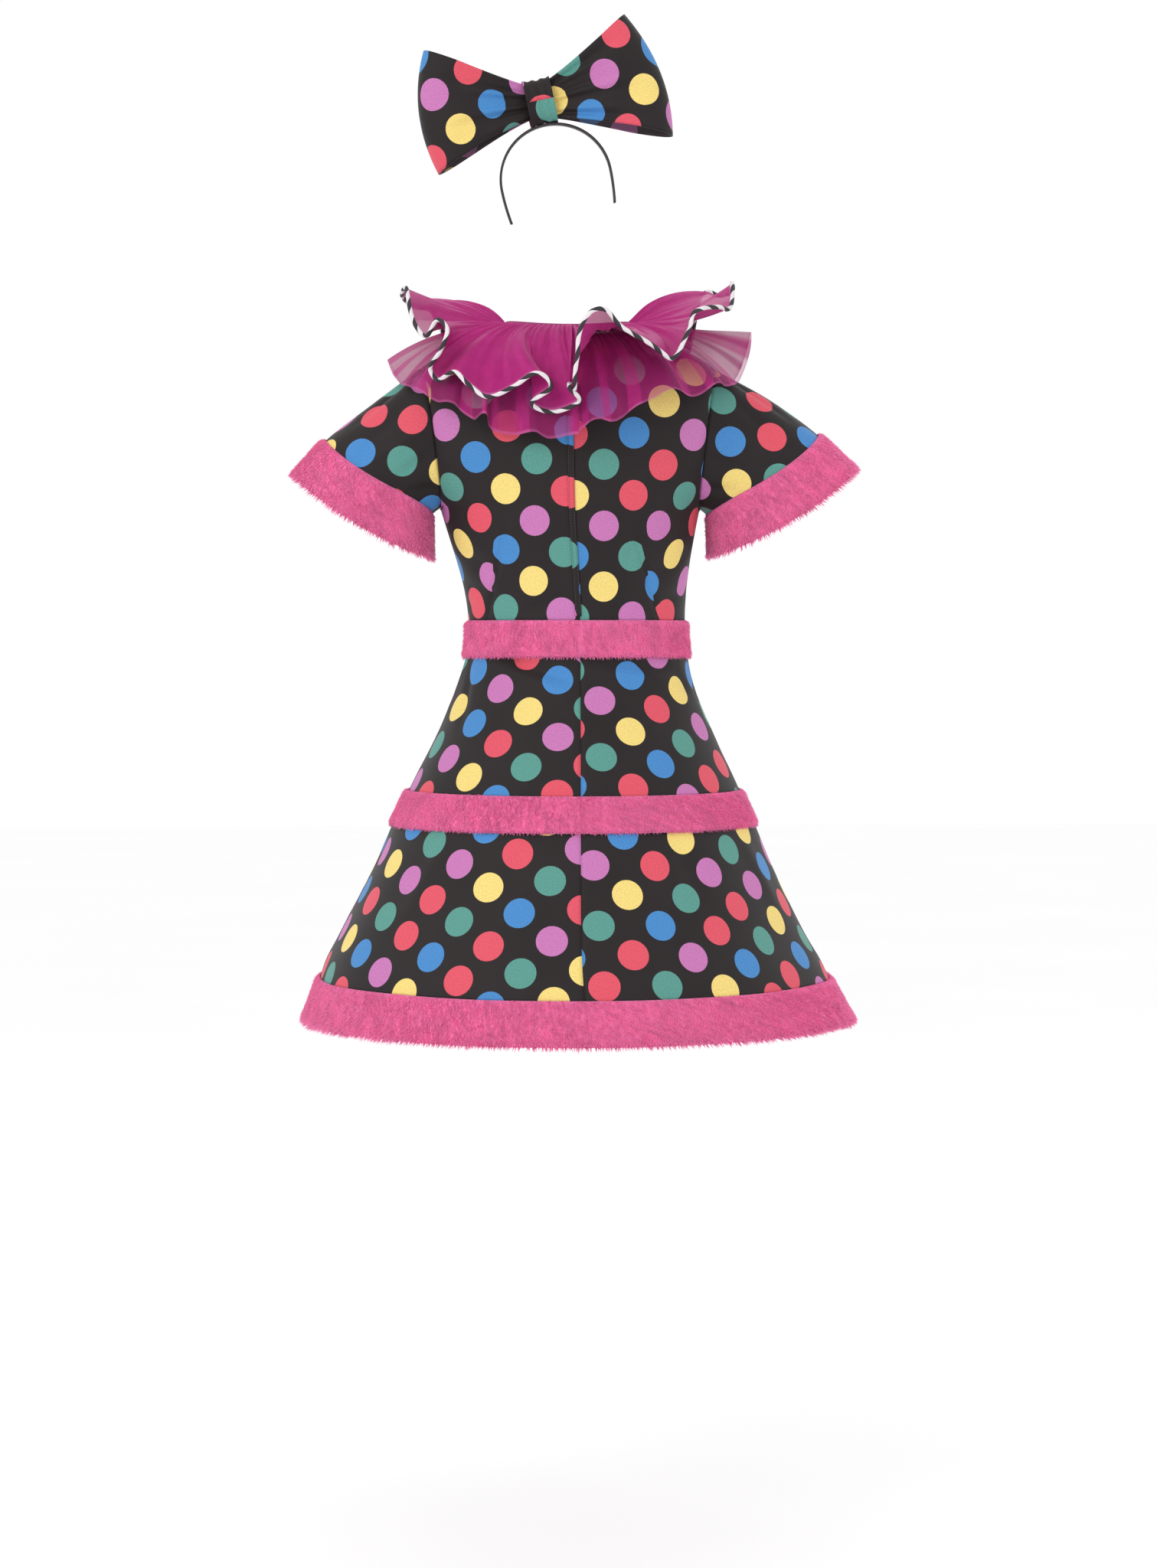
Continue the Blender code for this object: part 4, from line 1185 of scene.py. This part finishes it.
# %% Plush material
def plush_look():
    """Acrylic pile: hot pink, with painted shade in the depths and a painted highlight where the tips catch the
    light.
    """
    look, tree = new_material("acrylic plush")
    # Painted shade and highlight: each hair runs from a dark root, as if in shade, to a pale tip, as if lit.
    hair = mixed(tree, stored(tree, "tip"), "#E65E9C", "#F8A2C9")
    hair = mixed(tree, calc(tree, "MULTIPLY", stored(tree, "shade"), 0.4), hair, "#E86CA6")
    # Painted light and shade: patches and streaks along the nap, brighter or darker as the brushed hair catches the
    # light.
    nap_light_streaks = noise(tree, 1.0, 3.0, stored(tree, "nap", "Vector"))
    light = calc(tree, "MULTIPLY_ADD", noise(tree, 38.0), 0.5, nap_light_streaks)
    light = ranged(tree, light, 0.5, 1.0, 0.86, 1.14)
    return finished(look, Base_Color=mixed(tree, 1.0, hair, light, "MULTIPLY"), Roughness=0.78,
                    Sheen_Weight=0.35, Sheen_Roughness=0.5, Sheen_Tint="#FFC2E0", Specular_IOR_Level=0.25)


def knit_look():
    """Knitted back of the fur fabric: rows of loops about 1.6 mm apart, with painted shade in the grooves between
    them.
    """
    look, tree = new_material("knitted backing")
    place = add_node(tree, "ShaderNodeTexCoord").outputs["Object"]
    rows = ridges(tree, place, "Z", 0.0016, 2.0, 2.0)
    # The colour follows the rows' relief, darker in the grooves: painted shade.
    colour = mixed(tree, rows, "#8E3561", "#B44F7F")
    return finished(look, (rows, 0.4, 0.0004), Base_Color=colour, Roughness=0.85)


def keep(tree, geometry, domain, name, value):
    """Stores a number as a named attribute inside a tree."""
    return add_node(tree, "GeometryNodeStoreNamedAttribute", {"data_type": "FLOAT", "domain": domain},
                    Geometry=geometry, Name=name, Value=value).outputs[0]


def tuft_tree():
    tree, given = new_tree(
        "plush tufts", Float=("Tufts per square metre", "Length", "Root radius", "Comb", "Clumping", "Chance"),
        Int=("Seed",), Material=("Hair",))
    roots = add_node(tree, "GeometryNodeDistributePointsOnFaces", Mesh=given["Geometry"],
                     Density=given["Tufts per square metre"], Seed=given["Seed"])
    cone = add_node(tree, "GeometryNodeMeshCone", {"fill_type": "NONE"}, Vertices=3, Radius_Top=0.0,
                    Radius_Bottom=given["Root radius"], Depth=given["Length"])
    position = add_node(tree, "GeometryNodeInputPosition").outputs[0]
    height = add_node(tree, "ShaderNodeSeparateXYZ", i0=position).outputs["Z"]
    tuft = keep(tree, cone.outputs["Mesh"], "POINT", "tip", calc(tree, "DIVIDE", height, given["Length"]))
    comb, pile = (add_node(tree, "GeometryNodeInputNamedAttribute", {"data_type": kind}, Name=name).outputs[0]
                  for name, kind in (("comb", "FLOAT_VECTOR"), ("pile", "FLOAT")))
    wave = add_node(tree, "ShaderNodeTexNoise", Scale=95.0, Detail=2.0)
    wave = add_node(tree, "ShaderNodeVectorMath", {"operation": "SUBTRACT"}, i0=wave.outputs["Color"],
                    i1=(0.5, 0.5, 0.5)).outputs[0]
    chance = add_node(tree, "FunctionNodeRandomValue", {"data_type": "FLOAT_VECTOR"}, i0=(-1.0, -1.0, -1.0),
                      i1=(1.0, 1.0, 1.0), Seed=given["Seed"]).outputs[0]
    direction = roots.outputs["Normal"]
    for push, share in ((comb, "Comb"), (wave, "Clumping"), (chance, "Chance")):
        direction = add_node(tree, "ShaderNodeVectorMath", {"operation": "MULTIPLY_ADD"}, i0=push,
                             i1=given[share], i2=direction).outputs[0]
    turned = add_node(tree, "FunctionNodeAlignRotationToVector", {"axis": "Z"}, Vector=direction)
    size, shade = (add_node(tree, "FunctionNodeRandomValue", {"data_type": "FLOAT"}, i2=low, i3=high,
                            Seed=given["Seed"]).outputs[1] for low, high in ((0.7, 1.15), (0.0, 1.0)))
    tufts = add_node(tree, "GeometryNodeInstanceOnPoints", Points=roots.outputs["Points"], Instance=tuft,
                     Rotation=turned.outputs[0], Scale=calc(tree, "MULTIPLY", size, pile))
    return finish_tree(tree, keep(tree, tufts.outputs[0], "INSTANCE", "shade", shade), given["Hair"])


plush, knit, tufts = plush_look(), knit_look(), tuft_tree()
print("tuft tree:", len(tufts.nodes), "nodes")

# %% Plush bands
PILE_GROUND = 3.2      # height of the solid part of the pile
PILE_ABOVE, PILE_BELOW = 1.4, 2.6
FRINGE = 3.0           # the ground hangs this far past a cut edge, and the tufts reach past it
FRINGE_PILE = ((1.15,), (1.5,), (1.7,))        # the last rows' tufts are this much longer
BACK = 1.9
NAP = (0.19, 0.035)    # the painted light and shade of the nap's streaks: how often they change around and down a band, per millimetre
TUFTS = {"Tufts per square metre": 450000, "Length": 4.8 * MM, "Root radius": 0.52 * MM,
         "Comb": 1.2, "Clumping": 1.6, "Chance": 0.3, "Hair": plush}
GROUND_TIP = 0.2       # the ground between the tufts has the colour of this share of a hair, near its painted root shade


def plush_outline(free_edge):
    """Outline of a band: share of its height, shift along the cloth, height over the cloth."""
    half = SEAM / 2
    outline = [(0, half, -BACK), (0, half, 0.5), (0, -PILE_ABOVE, 0.7), (0, 0.6, PILE_GROUND * 0.7)]
    outline += [(share, 0, PILE_GROUND) for share in (0.06, 0.2, 0.35, 0.5, 0.65, 0.8, 0.94)]
    if free_edge:
        outline += [(1, 0.5, PILE_GROUND * 0.9), (1, FRINGE, PILE_GROUND * 0.3), (1, FRINGE * 0.5, -BACK)]
    else:
        outline += [(1, -0.5, PILE_GROUND * 0.8), (1, PILE_BELOW, 0.7), (1, -half, 0.5), (1, -half, -BACK)]
    return np.array(outline)


def plush_band(name, surface, columns, top, bottom, free_edge=False, closed=False, seed=1, parting=0.0):
    """A band of fur fabric and its pile, as two pieces."""
    shares, shift, height = plush_outline(free_edge).T
    points, along, down, normal = lattice(surface, columns, top + (bottom - top) * shares)
    points = points + down * shift[:, None, None] + normal * height[:, None, None]
    if not closed:
        points[:, 0] -= along[:, 0] * SEWN_OVER
        points[:, -1] += along[:, -1] * SEWN_OVER
    band = tube_piece("fur_" + name, np.swapaxes(points, 0, 1), closed)
    give(band, plush, knit)
    sides = len(shares)
    turns = len(columns) if closed else len(columns) - 1
    for face in band.data.polygons:
        face.material_index = int(face.index < turns * sides and face.index % sides == sides - 1)
    shown = slice(2, sides - 1 if free_edge else sides - 2)
    away = np.abs((columns + np.pi) % (2 * np.pi) - np.pi)
    grown = away > parting if parting else slice(None)
    pile = grid_piece("pile_" + name, points[shown][:, grown], closed)
    store(pile, "comb", down[shown][:, grown], "FLOAT_VECTOR")
    around, fall = run_along(points, 1), run_along(points, 0)
    nap = np.stack([around * NAP[0], fall * NAP[1], 0 * fall], -1)
    store(band, "nap", np.swapaxes(nap, 0, 1), "FLOAT_VECTOR")
    # The ground between the tufts takes a colour near the hairs' painted root shade.
    store(band, "tip", np.full(around.size, GROUND_TIP))
    store(pile, "nap", nap[shown][:, grown], "FLOAT_VECTOR")
    length = np.ones(points[shown][:, grown].shape[:2])
    if free_edge:
        length[-len(FRINGE_PILE):] = FRINGE_PILE
    store(pile, "pile", length)
    grow(pile, tufts, Seed=seed, **TUFTS)
    print("  " + name + ":", len(pile.data.polygons), "faces of pile")
    return band, pile


JOINT = 0.009          # the waistband's pile parts by this angle at its joint
RING_STEP = 6
CUFF_RISE = 15         # the cuffs' upper edge rises this much at the underarm
CUFF_REACH = 65        # the sleeve is this long at the underarm and three times as long on top
CUFF_COLUMNS = 96


def ring_columns(height):
    count = round(2 * math.pi * smooth(BODY, 1, height) / RING_STEP)
    return np.concatenate([[0], np.linspace(JOINT, 2 * np.pi - JOINT, count), [2 * np.pi]])


def cuff_surface(side):
    """The sleeve, with the cuff's upper edge drawn up towards the underarm."""
    surface = sleeve(side)

    def raised(u, v):
        rise = CUFF_RISE / 2 * (1 - np.cos(u)) / (CUFF_REACH * (2 + np.cos(u)))
        return surface(u, v - rise * np.clip((1 - v) / (1 - CUFF_START), 0, None))
    return raised


BANDS = {
    name: plush_band(name, skirt, ring_columns(ring), -top, -bottom, **settings)
    for name, ring, top, bottom, settings in (
        ("waistband", WAIST_TOP, WAIST_TOP, WAIST_BOTTOM, {"seed": 3, "parting": JOINT / 2}),
        ("middle_band", MIDDLE_BAND_TOP, MIDDLE_BAND_TOP, MIDDLE_BAND_BOTTOM, {"seed": 5}),
        ("hem_band", HEM, HEM_BAND_TOP, HEM, {"seed": 7, "free_edge": True}))}
for side, name, seed in ((1, "cuff_left", 11), (-1, "cuff_right", 13)):
    around = np.linspace(0, 2 * np.pi, CUFF_COLUMNS, endpoint=False)
    BANDS[name] = plush_band(name, cuff_surface(side), around, CUFF_START, 1, free_edge=True, closed=True, seed=seed)

# %% [markdown]
# ## Ruffles
#
# Organza is a thin, crisp, see-through weave. A ruffle is gathered to a third or a quarter of its length at
# the neck, so its root is a row of fine, uneven pleats. They open into the big folds of the tables above and
# a light flutter at the edge. Each ruffle is one layer of faces, because its thread is only 0.1 mm thick.

# %% Organza and binding materials
def organza_look():
    """Polyester organza: fuchsia, glossy, denser where pleats lie together and clearer at the edge."""
    look, tree = new_material("fuchsia organza")
    ground = mixed(tree, noise(tree, 70.0, 3.0), "#A01468", "#B8287E")
    rim = ranged(tree, stored(tree, "depth"), 0.975, 0.99)
    colour = mixed(tree, calc(tree, "MULTIPLY", rim, 0.25), ground, "#D68FC0")
    clear = calc(tree, "SUBTRACT", 0.97, stored(tree, "sheer"))
    return finished(look, Base_Color=colour, Alpha=calc(tree, "MULTIPLY_ADD", rim, 0.1, clear),
                    Roughness=0.55, Sheen_Weight=0.12, Sheen_Roughness=0.4, Sheen_Tint="#FF8AD0",
                    Specular_IOR_Level=0.2)


def binding_look():
    """Bias binding of the same organza, folded over and dense, with fine ribs from its gathers and painted shade in
    their hollows.
    """
    look, tree = new_material("folded organza binding")
    ribs = noise(tree, 420.0)
    # The colour follows the ribs' relief, darker in the hollows: painted shade.
    colour = mixed(tree, ribs, "#7E2059", "#A83279")
    return finished(look, (ribs, 0.5, 0.0005), Base_Color=colour, Roughness=0.5)


organza = organza_look()

# %% Ruffles and binding
RUFFLE_COLUMNS = 620
RUFFLE_ROWS = np.concatenate([np.linspace(0, 0.12, 6), np.linspace(0.16, 1, 25)])
PLEAT_STEP = 5.4       # millimetres between two fine pleats at the root
GATHER_STEP = 17.0     # and between the wider folds that they open into
FLUTTER_STEP = 64      # and between two waves of the edge
OVERLAP_STEP, OVERLAP_LEVEL, OVERLAP_DENSE = 47, 0.35, 0.62    # where folds lie double, and how much denser they look
FINE_DEPTHS = ((0, 0.12, 0.3, 0.6, 1), (0.8, 1.7, 1.2, 0.35, 0.12))    # from the root to the edge
WIDE_DEPTHS = ((0, 0.1, 0.4, 0.75, 1), (0, 0.8, 2.4, 1.4, 0.8))
END_LAP = 0.3          # share of a fold by which the ends lie over each other at the zip
END_LIFTS = (2.4, 0.2)                 # and how far each end stands off the cloth below it
BINDING_ROWS = np.array([0.0, 0.15, 0.5, 0.85, 1.0])
BINDING_OUTER, BINDING_INNER = (0.45, 0.1, 0, 0.1, 0.1), (1.0, 1.35, 1.4, 1.3, 1.3)


def uneven(run, step, amount, reach, phase):
    """Angle of a wave along a run in millimetres. A slower wave makes its steps uneven."""
    return math.tau * run / step + amount * np.sin(run / reach + phase)


def ruffle(name, folds, width, root, rise, phase, flutter, clearness):
    """One ruffle, with its pleats, as a single layer."""
    last = len(folds) - 1
    columns = np.linspace(-END_LAP, last + END_LAP, RUFFLE_COLUMNS)
    points, along, down, normal = lattice(collar(folds, width, root, rise), columns, RUFFLE_ROWS)
    v = RUFFLE_ROWS[:, None]
    start, edge = run_along(points[0])[None, :], run_along(points[-1])[None, :]
    fine = np.sin(uneven(start, PLEAT_STEP, 2.2, 23, phase) + 1.6 * np.sin(start / 9.1))
    wide = np.sin(uneven(start, GATHER_STEP, 1.9, 37, 2 * phase) + phase)
    wave = np.sin(uneven(edge, FLUTTER_STEP, 1.7, 90, phase))
    press = fine * np.interp(v, *FINE_DEPTHS) + wide * np.interp(v, *WIDE_DEPTHS)
    press = press + wave * (flutter * np.interp(v, [0.55, 1], [0, 1]) ** 1.5)
    for lift, end in zip(END_LIFTS, (0, last)):
        press = press + lift * np.exp(-np.abs(columns - end))
    points = points + normal * press[..., None]
    piece = grid_piece("organza_" + name, points)
    store(piece, "depth", np.broadcast_to(v, press.shape))
    lapped = np.clip((np.sin(uneven(edge, OVERLAP_STEP, 2.3, 31, phase)) - OVERLAP_LEVEL) / 0.12, 0, 1)
    lapped = lapped * np.clip((v - 0.3) / 0.2, 0, 1)
    store(piece, "sheer", clearness * np.clip(v / 0.8, 0, 1) ** 1.3 * (1 - OVERLAP_DENSE * lapped))
    give(piece, organza)
    return piece, points


ruffle_upper, upper_points = ruffle("ruffle_upper", COLLAR_FOLDS_UPPER, WIDTH_UPPER, ROOT_UPPER, RISE_UPPER,
                                    phase=0.4, flutter=0.0, clearness=0.12)
ruffle_lower, _ = ruffle("ruffle_lower", COLLAR_FOLDS_LOWER, WIDTH_LOWER, ROOT_LOWER, RISE_LOWER,
                         phase=2.1, flutter=2.2, clearness=0.46)

points, along, down, normal = lattice(binding, np.linspace(0, 2 * np.pi, 181), BINDING_ROWS)
points[:, 0] += along[:, 0] * SEAM / 2
points[:, -1] -= along[:, -1] * SEAM / 2
points[-1] -= down[-1] * SEAM / 2
outer, inner = (points - normal * np.array(depths)[:, None, None] for depths in (BINDING_OUTER, BINDING_INNER))
neck_binding = tube_piece("organza_neck_binding", np.swapaxes(np.concatenate([inner[::-1], outer]), 0, 1))
give(neck_binding, binding_look())

# %% [markdown]
# ## Striped piping
#
# The upper ruffle's edge is bound with a soft round cord in black and white. Its slanted stripes come from
# a strip that is wound around it, so the shader draws them from the way along the cord plus one step
# for each turn around it.

# %% Piping
STRIPE = 0.0155        # metres of one stripe along the cord
PIPING_SIDES = 10
PIPING_SEAT = 0.9      # the cord's middle lies this many radii past the cloth's edge


def lay_along(piece, run, sides):
    """A UV map named cord: metres along a skin, and the share of a turn around it."""
    layer = piece.data.uv_layers.new(name="cord")
    for face in piece.data.polygons[:(len(run) - 1) * sides]:
        i, j = divmod(face.index, sides)
        for loop, (step, side) in zip(face.loop_indices, ((i, j), (i + 1, j), (i + 1, j + 1), (i, j + 1))):
            layer.uv[loop].vector = (run[step], side / sides)


def winding(tree, step):
    """Share of a turn of a strip that is wound around a cord, with its turns step metres apart."""
    uv = add_node(tree, "ShaderNodeUVMap", {"uv_map": "cord"}).outputs[0]
    flat = add_node(tree, "ShaderNodeSeparateXYZ", i0=uv).outputs
    return calc(tree, "FRACT", calc(tree, "ADD", calc(tree, "DIVIDE", flat["X"], step), flat["Y"]))


def piping_look():
    """Cotton-covered cord with slanted black and white stripes, matt, with fine cross threads and painted shade where
    they sink.
    """
    look, tree = new_material("striped cotton piping")
    white = calc(tree, "GREATER_THAN", winding(tree, 2 * STRIPE), 0.5)
    threads = noise(tree, 600.0, 3.0)
    # Within each stripe the colour follows the threads' relief, darker where they sink: painted shade.
    dark, pale = mixed(tree, threads, "#1B171A", "#38313A"), mixed(tree, threads, "#CFC8CC", "#F4EFF1")
    return finished(look, (threads, 0.3, 0.0003), Base_Color=mixed(tree, white, dark, pale), Roughness=0.7)


edge, before = upper_points[-1], upper_points[-2]
forward = unit(np.gradient(edge, axis=0))
beyond = unit(edge - before)
beyond = unit(beyond - forward * np.sum(beyond * forward, axis=-1, keepdims=True))
middle = edge + beyond * PIPING_RADIUS * PIPING_SEAT
middle[1:-1] = (middle[:-2] + 2 * middle[1:-1] + middle[2:]) / 4
forward = unit(np.gradient(middle, axis=0))
sideways = unit(np.cross(forward, beyond))
outwards = unit(np.cross(sideways, forward))
turns = np.radians(np.arange(PIPING_SIDES) * 360 / PIPING_SIDES)
piping = tube_piece("cord_piping", [
    [m + PIPING_RADIUS * (math.cos(t) * o - math.sin(t) * s) for t in turns]
    for m, o, s in zip(middle, outwards, sideways)])
run = run_along(middle) * MM
lay_along(piping, run, PIPING_SIDES)
give(piping, piping_look())
print("piping:", round(run[-1], 2), "m long")

# %% [markdown]
# ## Bow and headband
#
# The loops are single strips of the printed cloth. Where they enter the knot they are pleated, and the
# pleats run out and fade in the width of the loop. The knot is a short wrap with its own pleats, and the
# headband is a thin plastic bow wound with black ribbon.

# %% Bow loops and knot
LOOPS = (
    # name, side, tilt of its axis and of its outer edge, length, half heights of its root and outer edge
    ("bow_loop_left", 1, -6, -7, 131, 18.4, 76),
    ("bow_loop_right", -1, 14, 22, 135, 20.1, 80),
)
LOOP_PLEATS = ((0, 0.12, 0.34, 0.62, 0.9), (0.5, 2.0, 2.6, 1.2, 0.0))  # depth from the knot to the outer edge
LOOP_BUCKLE = (2.2, 0.72, 0.1)         # depth, share of the loop's length and half width
LOOP_COLUMNS, LOOP_ROWS = np.linspace(0, 1, 97), np.linspace(0, 1, 37)
KNOT_COLUMNS, KNOT_ROWS = np.linspace(0, 2 * np.pi, 73), np.linspace(0, 1, 25)


def loop_pleats(phase):
    """Pleats that fan out from the knot and fade towards the outer edge."""
    out = np.abs(np.sin(np.pi * LOOP_COLUMNS))[None, :] ** LOOP_ROUNDNESS
    rise = 1 - 2 * LOOP_ROWS[:, None]
    fan = np.cos(math.tau * 1.9 * rise + phase) + 0.6 * np.cos(math.tau * 3.3 * rise + 2.2 * phase)
    depth, place, width = LOOP_BUCKLE
    buckle = depth * np.exp(-((out - place) / width) ** 2) * np.sin(math.tau * 0.8 * rise + phase)
    return fan * np.interp(out, *LOOP_PLEATS) * 0.8 + buckle


bow = [cloth_panel(name, loop_surface(side, *shape), LOOP_COLUMNS, LOOP_ROWS, len(LOOP_COLUMNS) // 2,
                   lambda points, side=side: loop_pleats(1.2 + side), trims=(0, 0, 0))
       for name, side, *shape in LOOPS]
pleats = 0.9 * np.cos(math.tau * 3 * KNOT_ROWS + 0.6) * np.sin(np.pi * KNOT_ROWS) ** 0.5
bow.append(cloth_panel("bow_knot", knot_surface, KNOT_COLUMNS, KNOT_ROWS, len(KNOT_COLUMNS) // 4,
                       lambda points: pleats[:, None] + 0 * points[..., 0], trims=(0, 0, 0)))
print("bow pieces:", [piece.name for piece in bow])

# %% Headband
HEADBAND_RADIUS, HEADBAND_LEG = 70, 42
HEADBAND_WIDTH, HEADBAND_THICKNESS = 11, 3
HEADBAND_LEG_TURN = 9
HEADBAND_OUTLINE = ((-1, -0.75), (-0.8, -1), (0.8, -1), (1, -0.75), (1, -0.25), (0.8, 0), (-0.8, 0), (-1, -0.25))
RIBBON_STEP = 0.008    # metres from one turn of the ribbon to the next


def ribbon_look():
    """Satin ribbon wound around plastic: black and smooth, each turn with a thin shadow at its edge."""
    look, tree = new_material("black satin ribbon")
    turn = winding(tree, RIBBON_STEP)
    colour = mixed(tree, ranged(tree, turn, 0.0, 0.14), "#0F0C0E", "#2A2428")
    return finished(look, (turn, 0.6, 0.0005), Base_Color=colour, Roughness=0.4)


def headband_section(distance):
    """Outline of the headband at a distance in millimetres from its top, counted along it."""
    quarter = math.radians(90)
    turn = np.clip(distance / HEADBAND_RADIUS, -quarter, quarter)
    leg = max(abs(distance) - HEADBAND_RADIUS * quarter, 0)
    lean = math.radians(HEADBAND_LEG_TURN) * leg / HEADBAND_LEG
    x = HEADBAND_RADIUS * math.sin(turn) - math.copysign(1, distance) * leg * math.sin(lean) / 2
    z = HEADBAND_RADIUS * (math.cos(turn) - 1) - leg
    section = []
    for across, depth in HEADBAND_OUTLINE:
        out_x, out_z = tilted(x + math.sin(turn) * depth * HEADBAND_THICKNESS,
                              z + math.cos(turn) * depth * HEADBAND_THICKNESS)
        section.append(seat + np.array([out_x, across * HEADBAND_WIDTH / 2, out_z]))
    return section


seat = np.array(KNOT_CENTRE, float)
seat[[0, 2]] = seat[[0, 2]] + tilted(0, -(KNOT_HALF_HEIGHT + SEAM))
half = HEADBAND_RADIUS * math.radians(90) + HEADBAND_LEG
distances = np.linspace(-half, half, 121)
headband = tube_piece("ribbon_headband", [headband_section(distance) for distance in distances])
lay_along(headband, distances * MM, len(HEADBAND_OUTLINE))
give(headband, ribbon_look())
print("headband:", len(headband.data.polygons), "faces")

# %% [markdown]
# ## Floor, light and camera
#
# The set is plain: a pale floor, one large soft light from the upper left, a weaker one from the right, one
# from the far side and an even sky. The camera stands 4 m behind the wearer at the height of the waist.

# %% Set
FLOOR_LEVEL, FLOOR_HALF = -1472, 15000
SKY = 1.0
CAMERA_TURN, CAMERA_DISTANCE = math.radians(177.5), 4.0
CAMERA_HEIGHT, CAMERA_SIDE = -0.363, 0.0033
CAMERA_AIM = 0.18236   # the middle of the view lies this far below the camera
SENSOR, LENS = 36, 74.7949
LIT_POINT = (0, 0, -0.35)
LIGHTS = (
    # name, power, size, and its place from the camera's point of view: right, away from the garment, up
    ("key", 26, 1.4, -2.0, 2.4, 1.5),
    ("fill", 5, 2.4, 2.6, 2.2, 0.4),
    ("far side", 14, 2.4, 0.4, -3.0, 1.6),
)


def floor_look():
    """Matt studio paper: white and even, with the faintest cloudiness."""
    look, tree = new_material("studio paper")
    return finished(look, Base_Color=mixed(tree, noise(tree, 1.3), "#FBFBFC", "#FFFFFF"), Roughness=0.9)


backward = np.array([math.sin(CAMERA_TURN), -math.cos(CAMERA_TURN), 0])
rightward = np.array([math.cos(CAMERA_TURN), math.sin(CAMERA_TURN), 0])
corners = [(x * FLOOR_HALF, y * FLOOR_HALF, FLOOR_LEVEL) for x, y in ((-1, -1), (1, -1), (1, 1), (-1, 1))]
floor = made_of("studio_floor", corners, [(0, 1, 2, 3)])
give(floor, floor_look())

world = bpy.data.worlds.new("even sky")
world.use_nodes = True
world.node_tree.nodes["Background"].inputs["Color"].default_value = linear("#FFFFFF")
world.node_tree.nodes["Background"].inputs["Strength"].default_value = SKY
bpy.context.scene.world = world
bpy.context.scene.view_settings.view_transform = "Standard"

for name, power, size, right, back, up in LIGHTS:
    lamp = bpy.data.lights.new(name, "AREA")
    lamp.energy, lamp.size = power, size
    made = show(bpy.data.objects.new(name, lamp))
    made.location = rightward * right + backward * back + np.array([0, 0, up])
    made.rotation_euler = (Vector(LIT_POINT) - made.location).to_track_quat("-Z", "Y").to_euler()

eye = bpy.data.cameras.new("camera")
eye.lens, eye.sensor_width = LENS, SENSOR
camera = show(bpy.data.objects.new("camera", eye))
camera.location = backward * CAMERA_DISTANCE + rightward * CAMERA_SIDE + np.array([0, 0, CAMERA_HEIGHT])
camera.rotation_euler = (math.pi / 2 - math.atan(CAMERA_AIM / CAMERA_DISTANCE), 0, CAMERA_TURN)
bpy.context.scene.camera = camera
print("camera at", [round(x, 3) for x in camera.location])

# %% [markdown]
# ## Hand over to the frame
#
# Each piece now rides on the one body and stands for its CAD node.


def hand_over(piece, slot, *nodes):
    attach(piece, "root")
    if nodes:
        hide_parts(*nodes)


for piece in (*backs, front, *skirts, *sleeves, *bow):
    hand_over(piece, "dotted_cloth", piece.name.removeprefix("cloth_"))
hand_over(lap, "dotted_cloth", "zip_lap")
hand_over(lap_stitches, "dotted_cloth")
for node, (band, pile) in BANDS.items():
    hand_over(band, "pink_fur", node)
    hand_over(pile, "pink_fur")
for piece, slot, node in (
        (ruffle_upper, "organza", "ruffle_upper"), (ruffle_lower, "organza", "ruffle_lower"),
        (neck_binding, "organza", "neck_binding"), (piping, "striped_cord", "piping"),
        (headband, "dark_band", "headband")):
    hand_over(piece, slot, node)

# %% Sizes
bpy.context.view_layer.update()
total = sum(len(face.vertices) - 2 for piece in bpy.data.objects if piece.type == "MESH"
            and not piece.hide_render and "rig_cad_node" not in piece for face in piece.data.polygons)
print("triangles made:", total)
